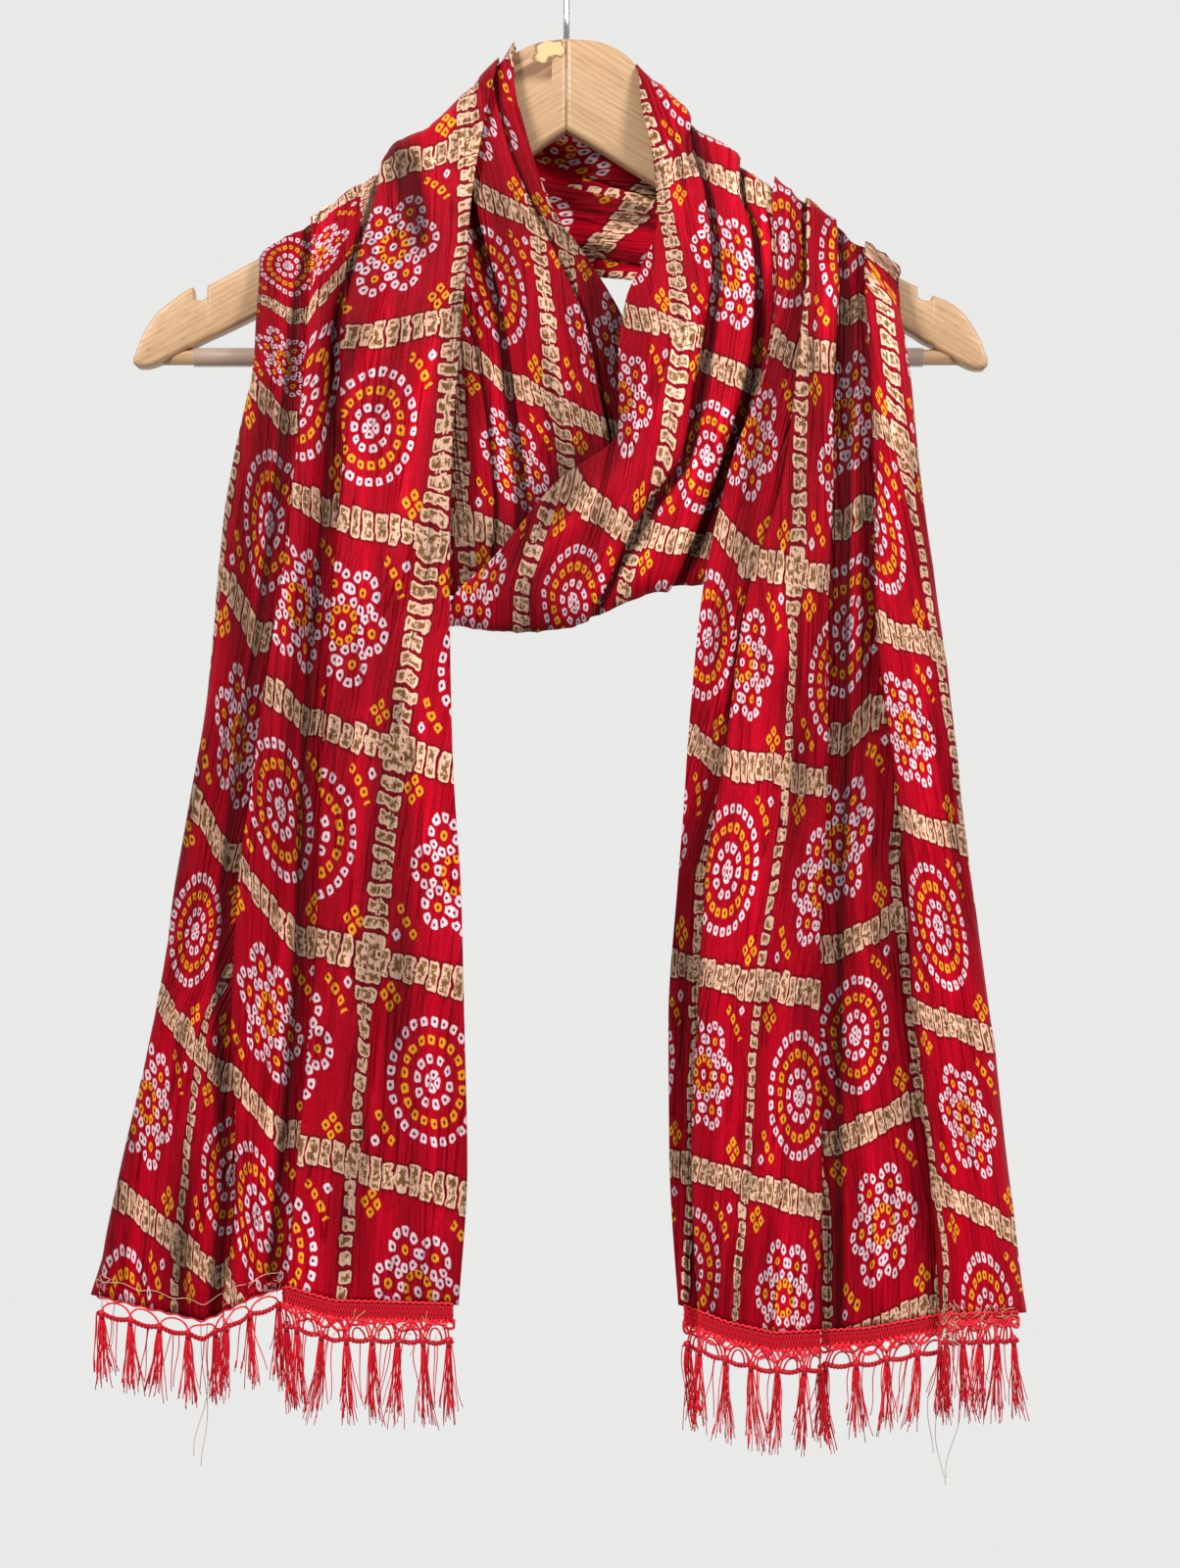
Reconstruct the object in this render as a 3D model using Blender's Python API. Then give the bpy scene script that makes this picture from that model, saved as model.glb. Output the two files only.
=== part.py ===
# Dupatta stole wound over a wooden hanger, hung by the hanger's hook.
# Sizes are in millimetres and become metres when a mesh is made. +Z is up, and the front looks along -Y.
# The origin is the inside top of the hook, where a rail would touch it.
import math

import bmesh
import bpy
import numpy as np

# Hanger sizes
UNIT = 0.517  # one unit of the tables' x and y, which run right and down across the front of the hanging stole
MIDDLE = 575.0  # table x at the origin
WOOD_TOP_Z = -82.0
WOOD_TOP = 42.0  # table y of the wood's top
EYE_X, EYE_Z, EYE_AWAY = 14.0, -474.0, 1300.0  # the tables are as seen from here, in the plane y = 0
WOOD_THICK = 13.0
WOOD_CHAMFER = 2.2
TIP_FORWARD = 14.0  # the wings bend this far to the front at their ends
WING_REACH = 222.0
SEAM_GAP = 0.3
SEAM_X = 1.6
ROD_RADIUS = 1.7
HOOK_RADIUS = 21.7  # to the rod's middle
SOCKET_DEPTH = 14.0
BAR_Z, BAR_Y = -251.0, -12.0
DOWEL_RADIUS = 4.1
SLEEVE_INSIDE, SLEEVE_OUTSIDE = 4.4, 5.0
DOWEL_HALF, SLEEVE_LEFT, SLEEVE_RIGHT = 209.0, -193.0, 188.0

# Cloth sizes
WALL = 1.2
LAYER = 4.5  # between the middles of two layers that lie on each other in a fold
LOW = 3.0  # height of the lowest front layer over its base line
BACK_LAYER = -5.5  # height of a tail's back layer
BACK_SHARE = 0.5  # of the tail's width
BACK_WIDENS = 110.0  # distance from the hidden seam over which the back layer reaches its full width
STEP = 38.0  # between sections, where the tables' rows stand further apart
CLOTH_SEAM = 1.3  # between two stretches, measured along the cloth

# Wings: table x, top y, bottom y
LEFT_WING = (
    (555, 45, 150),
    (540, 49.5, 161),
    (525, 58, 170),
    (510, 75, 179),
    (495, 100, 188),
    (475, 132, 200),
    (450, 159, 215),
    (360, 214, 269),
    (268, 270, 325),
    (217, 297, 351),
    (216.4, 312, 351.4),
    (201, 312, 359.6),
    (200.4, 303, 360),
    (182, 313, 369),
    (165, 325, 378),
    (154, 343, 381),
    (147, 360, 381),
    (143.5, 371, 378),
)
RIGHT_WING = (
    (610, 45, 154),
    (626, 51, 164),
    (640, 60, 173),
    (650, 72, 179),
    (660, 90, 185),
    (672, 118, 192),
    (690, 141, 203),
    (715, 170, 218),
    (815, 230, 278.5),
    (915, 290, 339),
    (933, 297, 350),
    (933.6, 311, 350.4),
    (949.4, 311, 359.6),
    (950, 304, 360),
    (965, 312, 370),
    (980, 323, 379),
    (992, 344, 383),
    (998, 360, 383),
    (1001.5, 371, 380),
)

# One row for each section of a stretch, from the hem or hidden seam at its start.
# outer and inner: the two ends of the section's base line. deep: its y in mm. turn: which way the folds stand,
# 0 to the front, 90 up, 180 to the back. flat: share of the folds' full height. sag: how far the base line's middle
# hangs. Then, for each fold, its edge's x and how far the cloth is tucked in under it, in mm.
LEFT_TAIL = (
    # outer x, y, inner x, y, deep, turn, flat, sag, fold 1, tuck 1, fold 2, tuck 2
    (272, 263, 508, 64, 9, 125, 0.5, 10, 322, 5, 396, 5),
    (270, 260, 508, 60, 0, 90, 0.5, 10, 320, 6, 394, 6),
    (268, 258, 507, 65, -10, 60, 0.6, 9.5, 318, 7, 390, 7),
    (267, 287, 499, 98, -15, 20, 0.75, 7, 317, 8, 385, 8),
    (265, 315, 482, 200, -22, 5, 0.9, 4, 314, 11, 368, 10),
    (262, 350, 471, 330, -26, 0, 1, 0, 312, 12, 352, 12),
    (242, 465, 461, 465, -28, 0, 1, 0, 303, 14, 350, 14),
    (222, 600, 456, 600, -29, 0, 1, 0, 286, 15, 340, 16),
    (207, 760, 462, 770, -29, 0, 1, 0, 262, 14, 330, 18),
    (180, 920, 471, 920, -29, 0, 1, 0, 242, 12, 326, 18),
    (158, 1040, 474, 1050, -29, 0, 1, 0, 238, 12, 317, 16),
    (127, 1190, 477, 1190, -29, 0, 1, 0, 240, 11, 303, 15),
    (96, 1322, 468, 1332, -29, 0, 1, 0, 228, 10, 290, 14),
)
RIGHT_TAIL = (
    # outer x, y, inner x, y, deep, turn, flat, sag, fold 1, tuck 1, fold 2, tuck 2, fold 3, tuck 3
    (917, 287, 788, 184, 9, 125, 0.5, 1, 879, 5, 849, 5, 818, 4),
    (918, 283, 787, 181, 0, 90, 0.55, 1, 879, 6, 849, 6, 818, 4),
    (919, 280, 787, 186, -11, 60, 0.6, 1, 879, 7, 850, 7, 819, 4),
    (918, 316, 786, 208, -17, 20, 0.75, 1, 880, 8, 852, 8, 820, 5),
    (922, 345, 792, 262, -28, 5, 0.9, 0, 884, 10, 855, 10, 822, 6),
    (928, 385, 790, 335, -33, 0, 1, 0, 888, 12, 853, 11, 816, 7),
    (940, 480, 744, 480, -35, 0, 1, 0, 892, 13, 850, 13, 800, 8),
    (957, 620, 716, 610, -36, 0, 1, 0, 894, 14, 848, 14, 762, 9),
    (975, 760, 702, 755, -35, 0, 1, 0, 908, 15, 846, 15, 742, 9),
    (990, 900, 693, 900, -34, 0, 1, 0, 925, 16, 840, 16, 720, 8),
    (1005, 1020, 683, 1040, -33, 0, 1, 0, 931, 16, 838, 16, 712, 7),
    (1024, 1180, 684, 1180, -32, 0, 1, 0, 948, 16, 838, 16, 706, 6),
    (1042, 1342, 692, 1345, -32, 0, 1, 0, 960, 15, 838, 16, 712, 5),
)
LEFT_BAND = (
    (412, 178, 527, 48, 8, 125, 0.2, 3, 438, 3, 466, 3, 500, 3),
    (412, 175, 527, 45, 0, 90, 0.2, 3, 438, 3, 466, 3, 500, 3),
    (412, 177, 527, 48, -8.5, 60, 0.25, 3, 438, 3, 466, 3, 501, 3),
    (412, 199, 525, 78, -12, 15, 0.35, 2, 440, 3, 468, 3, 505, 3),
    (424, 236, 538, 138, -15, 0, 0.5, 0, 448, 3, 480, 4, 520, 4),
    (440, 275, 563, 210, -18, 0, 0.7, 0, 460, 4, 495, 4, 547, 5),
    (452, 322, 600, 264, -18, 0, 0.75, 0, 474, 4, 510, 5, 574, 6),
    (462, 380, 634, 320, -17, 0, 0.75, 0, 486, 4, 520, 5, 598, 7),
    (470, 440, 662, 392, -15.5, 0, 0.6, 0, 496, 4, 528, 5, 612, 6),
    (477, 520, 690, 482, -14.5, 0, 0.4, 0, 504, 4, 540, 4, 632, 4),
    (470, 580, 708, 540, -15, 0, 0.25, 0, 500, 3, 545, 3, 645, 3),
    (466, 608, 712, 564, -15.5, 0, 0.2, 0, 500, 3, 548, 3, 650, 3),
)
RIGHT_BAND = (
    (790, 204, 648, 71, 9, 125, 0.55, 4, 752, 6, 702, 6),
    (790, 201, 648, 68, 0, 90, 0.6, 4, 752, 6, 702, 6),
    (790, 204, 649, 71, -9, 60, 0.65, 4, 752, 6, 703, 6),
    (791, 228, 652, 102, -13, 20, 0.75, 2, 752, 7, 706, 7),
    (802, 264, 665, 152, -21, 0, 0.85, 0, 764, 8, 718, 8),
    (803, 312, 671, 224, -24, 0, 0.9, 0, 768, 8, 724, 9),
    (800, 372, 638, 308, -25, 0, 0.9, 0, 764, 8, 716, 10),
    (786, 432, 631, 362, -25, 0, 0.85, 0, 750, 8, 706, 10),
    (768, 484, 631, 436, -25, 0, 0.8, 0, 734, 7, 696, 8),
    (752, 534, 564, 494, -25, 0, 0.7, 0, 716, 7, 660, 8),
    (740, 568, 502, 562, -25, 0, 0.6, 0, 700, 6, 630, 8),
    (730, 584, 468, 606, -25.5, -15, 0.5, 0, 690, 5, 610, 7),
    (722, 591, 458, 631, -23.5, -60, 0.3, 0, 682, 4, 600, 6),
    (719, 590, 459, 633, -20.5, -110, 0.25, 0, 680, 4, 598, 5),
    (716, 580, 462, 625, -18, -160, 0.25, 0, 678, 4, 596, 4),
    (712, 566, 466, 610, -16.5, -175, 0.2, 0, 676, 3, 596, 3),
)
LEFT_WRAP = (
    (272, 263, 508, 64, 9, 125, 0.5, 10, 322, 5, 396, 5),
    (290, 292, 503, 92, 24, 160, 0.6, 6, 336, 5, 402, 5),
    (350, 318, 512, 106, 33, 178, 0.6, 2, 388, 6, 436, 6),
    (440, 318, 530, 108, 37, 180, 0.6, 0, 466, 7, 490, 7),
    (530, 296, 558, 105, 38, 180, 0.6, 0, 540, 7, 549, 7),
    (620, 281, 595, 100, 38, 180, 0.6, 0, 612, 7, 604, 7),
    (705, 262, 628, 92, 35, 178, 0.6, 0, 680, 7, 654, 7),
    (766, 238, 643, 86, 26, 162, 0.6, 2, 730, 6, 690, 6),
    (790, 204, 648, 71, 9, 125, 0.55, 4, 752, 6, 702, 6),
)
RIGHT_WRAP = (
    (412, 178, 527, 48, 8, 125, 0.2, 3, 438, 3, 466, 3, 500, 3),
    (420, 208, 532, 70, 12, 155, 0.25, 2, 446, 4, 476, 4, 506, 4),
    (470, 258, 552, 102, 15, 178, 0.35, 0, 490, 5, 512, 5, 534, 5),
    (560, 284, 592, 122, 17, 180, 0.45, 0, 569, 6, 577, 6, 586, 6),
    (650, 293, 656, 150, 16, 180, 0.45, 0, 652, 6, 653, 6, 655, 6),
    (735, 305, 720, 190, 15, 180, 0.42, 0, 731, 5, 728, 5, 724, 5),
    (815, 322, 770, 226, 14, 180, 0.38, 0, 802, 5, 792, 4, 780, 4),
    (885, 332, 796, 222, 14, 160, 0.45, 0, 860, 5, 838, 4, 816, 4),
    (917, 287, 788, 184, 9, 125, 0.5, 1, 879, 5, 849, 5, 818, 4),
)
# Which side of each fold lies on top, counted from the outer edge
INNER_ON_TOP, OUTER_ON_TOP = -1, 1
OUTSIDE_FOLDS = (INNER_ON_TOP, INNER_ON_TOP)
INSIDE_FOLDS = (OUTER_ON_TOP, INNER_ON_TOP, OUTER_ON_TOP)
FRONT_COLUMNS = 8  # of a section row before its folds

# How far the hem hangs below its base line: share of the width from the outer edge, drop in mm
LEFT_HEM = ((0, 0), (0.15, 5), (0.29, 8), (0.45, -2), (0.52, -7), (0.66, 0), (1, 0))
RIGHT_HEM = ((0, -1), (0.23, 0), (0.45, 7), (0.58, 8), (0.72, 9), (0.86, 3), (1, -7))
HEM_RISE = 160.0  # height over which the hem's drop fades out

# Trims: name, tail, share of the tail's width from and to, tassels, header, loop, chain and strand heights in mm
TRIMS = (
    ("left_outer_trim", "left", 0.015, 0.505, 8, 2.6, 9.0, 2.6, 36.0),
    ("left_inner_trim", "left", 0.53, 0.99, 7, 9.5, 10.0, 3.0, 44.0),
    ("right_outer_trim", "right", 0.02, 0.225, 4, 4.0, 10.0, 3.0, 40.0),
    ("right_middle_trim", "right", 0.25, 0.57, 5, 8.0, 10.0, 3.0, 38.0),
    ("right_inner_trim", "right", 0.595, 0.985, 6, 9.5, 10.0, 3.0, 42.0),
)
TRIM_WALL = 1.2
TRIM_DROP = 0.75  # from the hem line to the header
HEM_POINTS = 12  # along each trim
STRAND_WIDTH = 0.8
STRAND_GAP = 0.5
STRANDS = 4
STRAND_SPLAY = 1.9  # between neighbouring tips
TIP_WIDTH = 0.5


def mm(x, y):
    """Table x and y as x and z in mm, in the plane y = 0."""
    return (x - MIDDLE) * UNIT, WOOD_TOP_Z - (y - WOOD_TOP) * UNIT


def bend(x):
    """How far the wings, and the cloth on them, stand forward at x."""
    return -TIP_FORWARD * np.minimum(np.abs(x) / WING_REACH, 1) ** 2


def as_seen(points):
    """Points drawn in towards the eye's line, so that each shows where its table puts it."""
    near = (EYE_AWAY + points[..., 1]) / EYE_AWAY
    moved = points.copy()
    moved[..., 0] = EYE_X + (points[..., 0] - EYE_X) * near
    moved[..., 2] = EYE_Z + (points[..., 2] - EYE_Z) * near
    return moved


def slopes(knots, values):
    """Slopes of a curve that never overshoots its values, one column of values at a time."""
    step = np.diff(knots)[:, None]
    rise = np.diff(values, axis=0) / step
    inner = np.zeros_like(values[1:-1])
    same = rise[:-1] * rise[1:] > 0
    one, two = 2 * step[1:] + step[:-1], step[1:] + 2 * step[:-1]
    first = np.where(same, rise[:-1], 1.0)
    second = np.where(same, rise[1:], 1.0)
    inner = np.where(same, (one + two) / (one / first + two / second), 0.0)
    return np.vstack([rise[:1], inner, rise[-1:]])


def eased(knots, values, at):
    """Values between the rows of a table, smooth and without overshoot."""
    knots, values = np.asarray(knots, float), np.asarray(values, float)
    tilt = slopes(knots, values)
    k = np.clip(np.searchsorted(knots, at, side="right") - 1, 0, len(knots) - 2)
    width = (knots[k + 1] - knots[k])[:, None]
    t = (np.asarray(at)[:, None] - knots[k][:, None]) / width
    return (
        (2 * t**3 - 3 * t**2 + 1) * values[k]
        + (t**3 - 2 * t**2 + t) * width * tilt[k]
        + (3 * t**2 - 2 * t**3) * values[k + 1]
        + (t**3 - t**2) * width * tilt[k + 1]
    )


def rounded(points, counts):
    """A smooth curve through points, with so many samples in each interval."""
    points = np.asarray(points, float)
    full = np.vstack([2 * points[0] - points[1], points, 2 * points[-1] - points[-2]])
    found = []
    for k, count in enumerate(counts):
        a, b, c, d = full[k : k + 4]
        gaps = [max(math.dist(p, q), 0.05) ** 0.5 for p, q in ((a, b), (b, c), (c, d))]
        start = (b - a) / gaps[0] - (c - a) / (gaps[0] + gaps[1]) + (c - b) / gaps[1]
        end = (c - b) / gaps[1] - (d - b) / (gaps[1] + gaps[2]) + (d - c) / gaps[2]
        for t in np.arange(count) / count:
            found.append(
                (2 * t**3 - 3 * t**2 + 1) * b
                + (t**3 - 2 * t**2 + t) * gaps[1] * start
                + (3 * t**2 - 2 * t**3) * c
                + (t**3 - t**2) * gaps[1] * end
            )
    return np.array(found + [points[-1]])


def section(width, folds, sides, back):
    """One section's path as (along, height) in mm from the outer end of its base line, and samples per interval.
    folds holds each fold's edge along the base line and its tuck. back is how much of the back layer there is, if any."""
    top = LOW + 2 * LAYER
    path, counts = [], []
    if back:
        reach, low = back * BACK_SHARE * width, back * BACK_LAYER
        path += [(max(reach, 6.0), low), (max(reach / 2, 4.5), low), (3.0, low), (0.0, low / 2 + 1)]
        counts += [2, 2, 1, 1]
    first_high = sides[0] == OUTER_ON_TOP
    path += [(3.0, LOW + 1.5 if not first_high else top - 3)]
    counts += [2]
    for (edge, tuck), side in zip(folds, sides):
        ways = (
            ((-0.5, LOW), (0.5, LOW), (1.0, LOW + 0.5 * LAYER), (0.5, LOW + LAYER))
            + ((0.0, LOW + 1.5 * LAYER), (0.5, top))
            if side == INNER_ON_TOP
            else ((-0.5, top), (0.0, top - 0.5 * LAYER), (-0.5, top - LAYER))
            + ((-1.0, top - 1.5 * LAYER), (-0.5, LOW), (0.5, LOW))
        )
        path += [(edge + share * tuck, height) for share, height in ways]
        counts += [1, 1, 1, 1, 1, 2]
    last_high = sides[-1] == INNER_ON_TOP
    reached = folds[-1][0] + folds[-1][1] * 0.5
    end = 7.0 if last_high else 6.0
    middle = top - 4 if last_high else LOW + 1.5
    path += [(reached + (width - reached) * 0.5, middle), (width, end)]
    counts += [2]
    return np.array(path), counts


def stations(rows):
    """Distance along a stretch of each of its rows, between the middles of their base lines."""
    middles = [((r[0] + r[2]) * UNIT / 2, (r[1] + r[3]) * UNIT / 2, r[4]) for r in rows]
    return np.concatenate([[0], np.cumsum([math.dist(p, q) for p, q in zip(middles, middles[1:])])])


def cloth_middle(rows, sides, hem=None, gap=0.0):
    """The middle surface of a stretch, as a grid of points: sections by samples. A stretch with a hem has a back layer."""
    along = stations(rows)
    at = [gap]
    for a, b in zip(along, along[1:]):
        parts = max(1, round((b - a) / STEP))
        at += [a + (b - a) * (k + 1) / parts for k in range(parts)]
    at[-1] -= gap
    at = np.array(at)
    grid = []
    for station, row in zip(at, eased(along, rows, at)):
        (ax, az), (bx, bz) = mm(row[0], row[1]), mm(row[2], row[3])
        width = math.hypot(bx - ax, bz - az)
        way = np.array([(bx - ax) / width, (bz - az) / width])
        up = np.array([-way[1], way[0]]) * (1 if way[0] >= 0 else -1)
        shares = (row[FRONT_COLUMNS::2] - row[0]) / (row[2] - row[0])
        if abs(bx - ax) < 0.6 * width:
            shares = np.arange(1, len(sides) + 1) / (len(sides) + 1)
        folds = list(zip(shares * width, row[FRONT_COLUMNS + 1 :: 2]))
        back = np.clip(station / BACK_WIDENS, 0.08, 1) if hem else 0
        path, counts = section(width, folds, sides, back)
        path = rounded(path, counts)
        turn, flat, sag = math.radians(row[5]), row[6], row[7]
        share = np.clip(path[:, 0] / width, 0, 1)
        height = path[:, 1] * flat
        hang = sag * 4 * share * (1 - share)
        x = ax + way[0] * path[:, 0] + up[0] * (height * math.sin(turn) - hang)
        z = az + way[1] * path[:, 0] + up[1] * (height * math.sin(turn) - hang)
        y = row[4] - height * math.cos(turn) + bend(x)
        if hem:
            low = np.clip(1 - (along[-1] - station) / HEM_RISE, 0, 1) ** 2
            drops = np.interp(share, *zip(*hem))
            z = z - low * drops
        grid.append(np.stack([x, y, z], 1))
    return as_seen(np.array(grid))


def normals(grid):
    """Unit normals of a grid of points."""
    along, across = np.gradient(grid, axis=0), np.gradient(grid, axis=1)
    found = np.cross(along, across)
    return found / np.linalg.norm(found, axis=2, keepdims=True)


def body(name, points, faces):
    """A mesh object from points in mm, with its faces turned outwards."""
    bm = bmesh.new()
    corners = [bm.verts.new(tuple(p / 1000)) for p in np.asarray(points, float)]
    for face in faces:
        bm.faces.new([corners[k] for k in face])
    bmesh.ops.recalc_face_normals(bm, faces=bm.faces)
    if bm.calc_volume(signed=True) < 0:
        bmesh.ops.reverse_faces(bm, faces=bm.faces)
    mesh = bpy.data.meshes.new(name)
    bm.to_mesh(mesh)
    bm.free()
    made = bpy.data.objects.new(name, mesh)
    bpy.context.scene.collection.objects.link(made)
    return made


def walled(name, grid, wall):
    """A closed sheet of that wall round a grid of middle points."""
    rows, columns = grid.shape[:2]
    half = normals(grid) * wall / 2
    points = np.concatenate([(grid + half).reshape(-1, 3), (grid - half).reshape(-1, 3)])
    under = rows * columns
    faces = []
    for r in range(rows - 1):
        for c in range(columns - 1):
            k = r * columns + c
            quad = (k, k + 1, k + columns + 1, k + columns)
            faces.append(quad)
            faces.append(tuple(under + i for i in reversed(quad)))
    rim = [(0, c) for c in range(columns)] + [(r, columns - 1) for r in range(1, rows)]
    rim += [(rows - 1, c) for c in range(columns - 2, -1, -1)]
    rim += [(r, 0) for r in range(rows - 2, 0, -1)]
    rim = [r * columns + c for r, c in rim]
    for a, b in zip(rim, rim[1:] + rim[:1]):
        faces.append((b, a, under + a, under + b))
    return body(name, points, faces)


def loft(name, rings):
    """A closed body through rings of the same number of points, capped at both ends."""
    count = len(rings[0])
    faces = [tuple(range(count)), tuple(reversed(range((len(rings) - 1) * count, len(rings) * count)))]
    for r in range(len(rings) - 1):
        for k in range(count):
            a, b = r * count + k, r * count + (k + 1) % count
            faces.append((b, a, a + count, b + count))
    return body(name, np.concatenate(rings), faces)


def wing(name, rows, side):
    """Half of the hanger's wood, from the seam to its tip."""
    rings = []
    seam = SEAM_X + side * SEAM_GAP / 2
    stations_mm = [(seam, WOOD_TOP_Z, mm(578, 135)[1])]
    stations_mm += [(mm(x, 0)[0], mm(0, top)[1], mm(0, low)[1]) for x, top, low in rows]
    for x, top, low in stations_mm:
        half = WOOD_THICK / 2
        cut = min(WOOD_CHAMFER, (top - low) / 4)
        y = float(bend(x))
        ring = [(half, top - cut), (half - cut, top), (cut - half, top), (-half, top - cut)]
        ring += [(-half, low + cut), (cut - half, low), (half - cut, low), (half, low + cut)]
        rings.append(np.array([(x, y + dy, z) for dy, z in ring]))
    return loft(name, rings)


def rod(name, path, radius, sides):
    """A round rod along a path in the plane y = 0."""
    path = np.array(path)
    way = np.gradient(path, axis=0)
    way /= np.linalg.norm(way, axis=1, keepdims=True)
    rings = []
    for (x, z), (dx, dz) in zip(path, way):
        turn = np.arange(sides) * 2 * math.pi / sides
        out = radius * np.cos(turn)
        rings.append(np.stack([x + out * dz, radius * np.sin(turn), z - out * dx], 1))
    return loft(name, rings)


def drilled(target, start, end, radius, sides=16):
    """Cuts a round hole from start to end, both points in mm."""
    start, end = np.array(start, float), np.array(end, float)
    axis = (end - start) / np.linalg.norm(end - start)
    across = np.cross(axis, (0, 1, 0))
    across /= np.linalg.norm(across)
    other = np.cross(axis, across)
    turns = np.arange(sides) * 2 * math.pi / sides
    ring = radius * (np.cos(turns)[:, None] * across + np.sin(turns)[:, None] * other)
    cutter = loft(target.name + "_cutter", [start + ring, end + ring])
    cutter.hide_render = True
    cut = target.modifiers.new("hole", "BOOLEAN")
    cut.operation, cut.solver, cut.object = "DIFFERENCE", "EXACT", cutter


def tube(name, left, right, inside, outside, sides=14):
    """The clear sleeve round the bar, open at both ends."""
    turns = np.arange(sides) * 2 * math.pi / sides
    points, faces = [], []
    for x in (left, right):
        for radius in (inside, outside):
            points += [(x, BAR_Y + radius * math.cos(t), BAR_Z + radius * math.sin(t)) for t in turns]
    for k in range(sides):
        n = (k + 1) % sides
        a, b, c, d = k, sides + k, 2 * sides + k, 3 * sides + k
        a2, b2, c2, d2 = n, sides + n, 2 * sides + n, 3 * sides + n
        faces += [(a, b, b2, a2), (c, c2, d2, d), (b, d, d2, b2), (a, a2, c2, c)]
    return body(name, points, faces)


def hem_line(grid, start, end, tail_rows):
    """The hem's front layer from one share of the tail's width to another, as points, outer end first."""
    last = tail_rows[-1]
    outer, inner = mm(last[0], last[1]), mm(last[2], last[3])
    ends = as_seen(np.array([(x, last[4] + bend(x), z) for x, z in (outer, inner)]))
    hem = grid[-1]
    share = (hem[:, 0] - ends[0, 0]) / (ends[1, 0] - ends[0, 0])
    found = []
    for wanted in np.linspace(start, end, HEM_POINTS):
        crossings = []
        for k in range(len(hem) - 1):
            low, high = sorted((share[k], share[k + 1]))
            if low <= wanted <= high and high > low:
                part = (wanted - share[k]) / (share[k + 1] - share[k])
                crossings.append(hem[k] + part * (hem[k + 1] - hem[k]))
        if crossings:
            found.append(min(crossings, key=lambda spot: spot[1]))
    return np.array(found)


def trim(name, line, tassels, header, loop, chain, strand):
    """A header tape, open loops, a chain and the tassels' strands, as one plate hung below the hem line."""
    steps = np.concatenate([[0], np.cumsum(np.linalg.norm(np.diff(line, axis=0), axis=1))])
    bunch = STRANDS * STRAND_WIDTH + (STRANDS - 1) * STRAND_GAP
    pitch = (steps[-1] - bunch - 1.0) / (tassels - 1)

    def place(distance, down):
        spot = np.array([np.interp(distance, steps, line[:, k]) for k in range(3)])
        return spot - np.array([0, 0, down])

    ahead = place(steps[-1], 0) - place(0, 0)
    out = np.array([ahead[1], -ahead[0], 0]) / math.hypot(ahead[0], ahead[1]) * TRIM_WALL / 2
    points, faces = [], []

    def corner(distance, down, spread=0.0, narrow=1.0):
        spot = place(distance, down) + ahead / np.linalg.norm(ahead) * spread
        points.extend([spot + out * narrow, spot - out * narrow])
        return len(points) - 2

    def slab(ring):
        """Front and back faces of one cell; its edges are closed later where no neighbour shares them."""
        faces.append(tuple(ring))
        faces.append(tuple(k + 1 for k in reversed(ring)))

    tops = [TRIM_DROP + down for down in (0, header, header + loop, header + loop + chain)]
    bars = []
    for t in range(tassels):
        left = 0.5 + t * pitch
        bars.append([left, left + bunch])
    nodes = [[(corner(a, down), corner(b, down)) for a, b in bars] for down in tops[:3]]
    edges = []
    for t, (left, right) in enumerate(bars):
        foot = []
        for s in range(STRANDS):
            begin = left + s * (STRAND_WIDTH + STRAND_GAP)
            foot.append((corner(begin, tops[3]), corner(begin + STRAND_WIDTH, tops[3])))
        edges.append(foot)
    for t in range(tassels):
        (a, b), (c, d), (e, f) = (nodes[k][t] for k in range(3))
        slab((a, b, d, c))
        slab((c, d, f, e))
        feet = [k for pair in edges[t] for k in pair]
        slab((e, f, *reversed(feet)))
        if t + 1 < tassels:
            slab((b, nodes[0][t + 1][0], nodes[1][t + 1][0], d))
            slab((f, nodes[2][t + 1][0], edges[t + 1][0][0], edges[t][-1][1]))
    shared = {}
    for face in faces[::2]:
        for a, b in zip(face, face[1:] + face[:1]):
            shared[(a, b)] = shared.get((a, b), 0) + 1
    roots = {(pair[0], pair[1]) for foot in edges for pair in foot}
    for a, b in list(shared):
        if (b, a) in shared or (a, b) in roots or (b, a) in roots:
            continue
        faces.append((b, a, a + 1, b + 1))
    for t, foot in enumerate(edges):
        for s, (a, b) in enumerate(foot):
            begin = bars[t][0] + s * (STRAND_WIDTH + STRAND_GAP)
            off = (s - (STRANDS - 1) / 2) * (STRAND_SPLAY - STRAND_WIDTH - STRAND_GAP)
            sway = 2.2 * math.sin(2.1 * t + 0.7 * len(name))
            fall = strand * (0.86 + 0.14 * math.sin(3.7 * t + 1.9 * s + len(name)))
            previous = (a, b)
            for part, width in ((0.45, 0.75), (1.0, TIP_WIDTH)):
                spread = (off + sway * part) * part
                middle = begin + STRAND_WIDTH / 2
                low = tops[3] + fall * part
                one = corner(middle, low, spread - width / 2, width)
                two = corner(middle, low, spread + width / 2, width)
                p, q = previous
                faces.append((p, q, two, one))
                faces.append((q + 1, p + 1, one + 1, two + 1))
                faces.append((p + 1, p, one, one + 1))
                faces.append((q, q + 1, two + 1, two))
                previous = (one, two)
            p, q = previous
            faces.append((q, q + 1, p + 1, p))
    return body(name, points, faces)


# The startup scene's objects
for old in list(bpy.data.objects):
    bpy.data.objects.remove(old, do_unlink=True)

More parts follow.
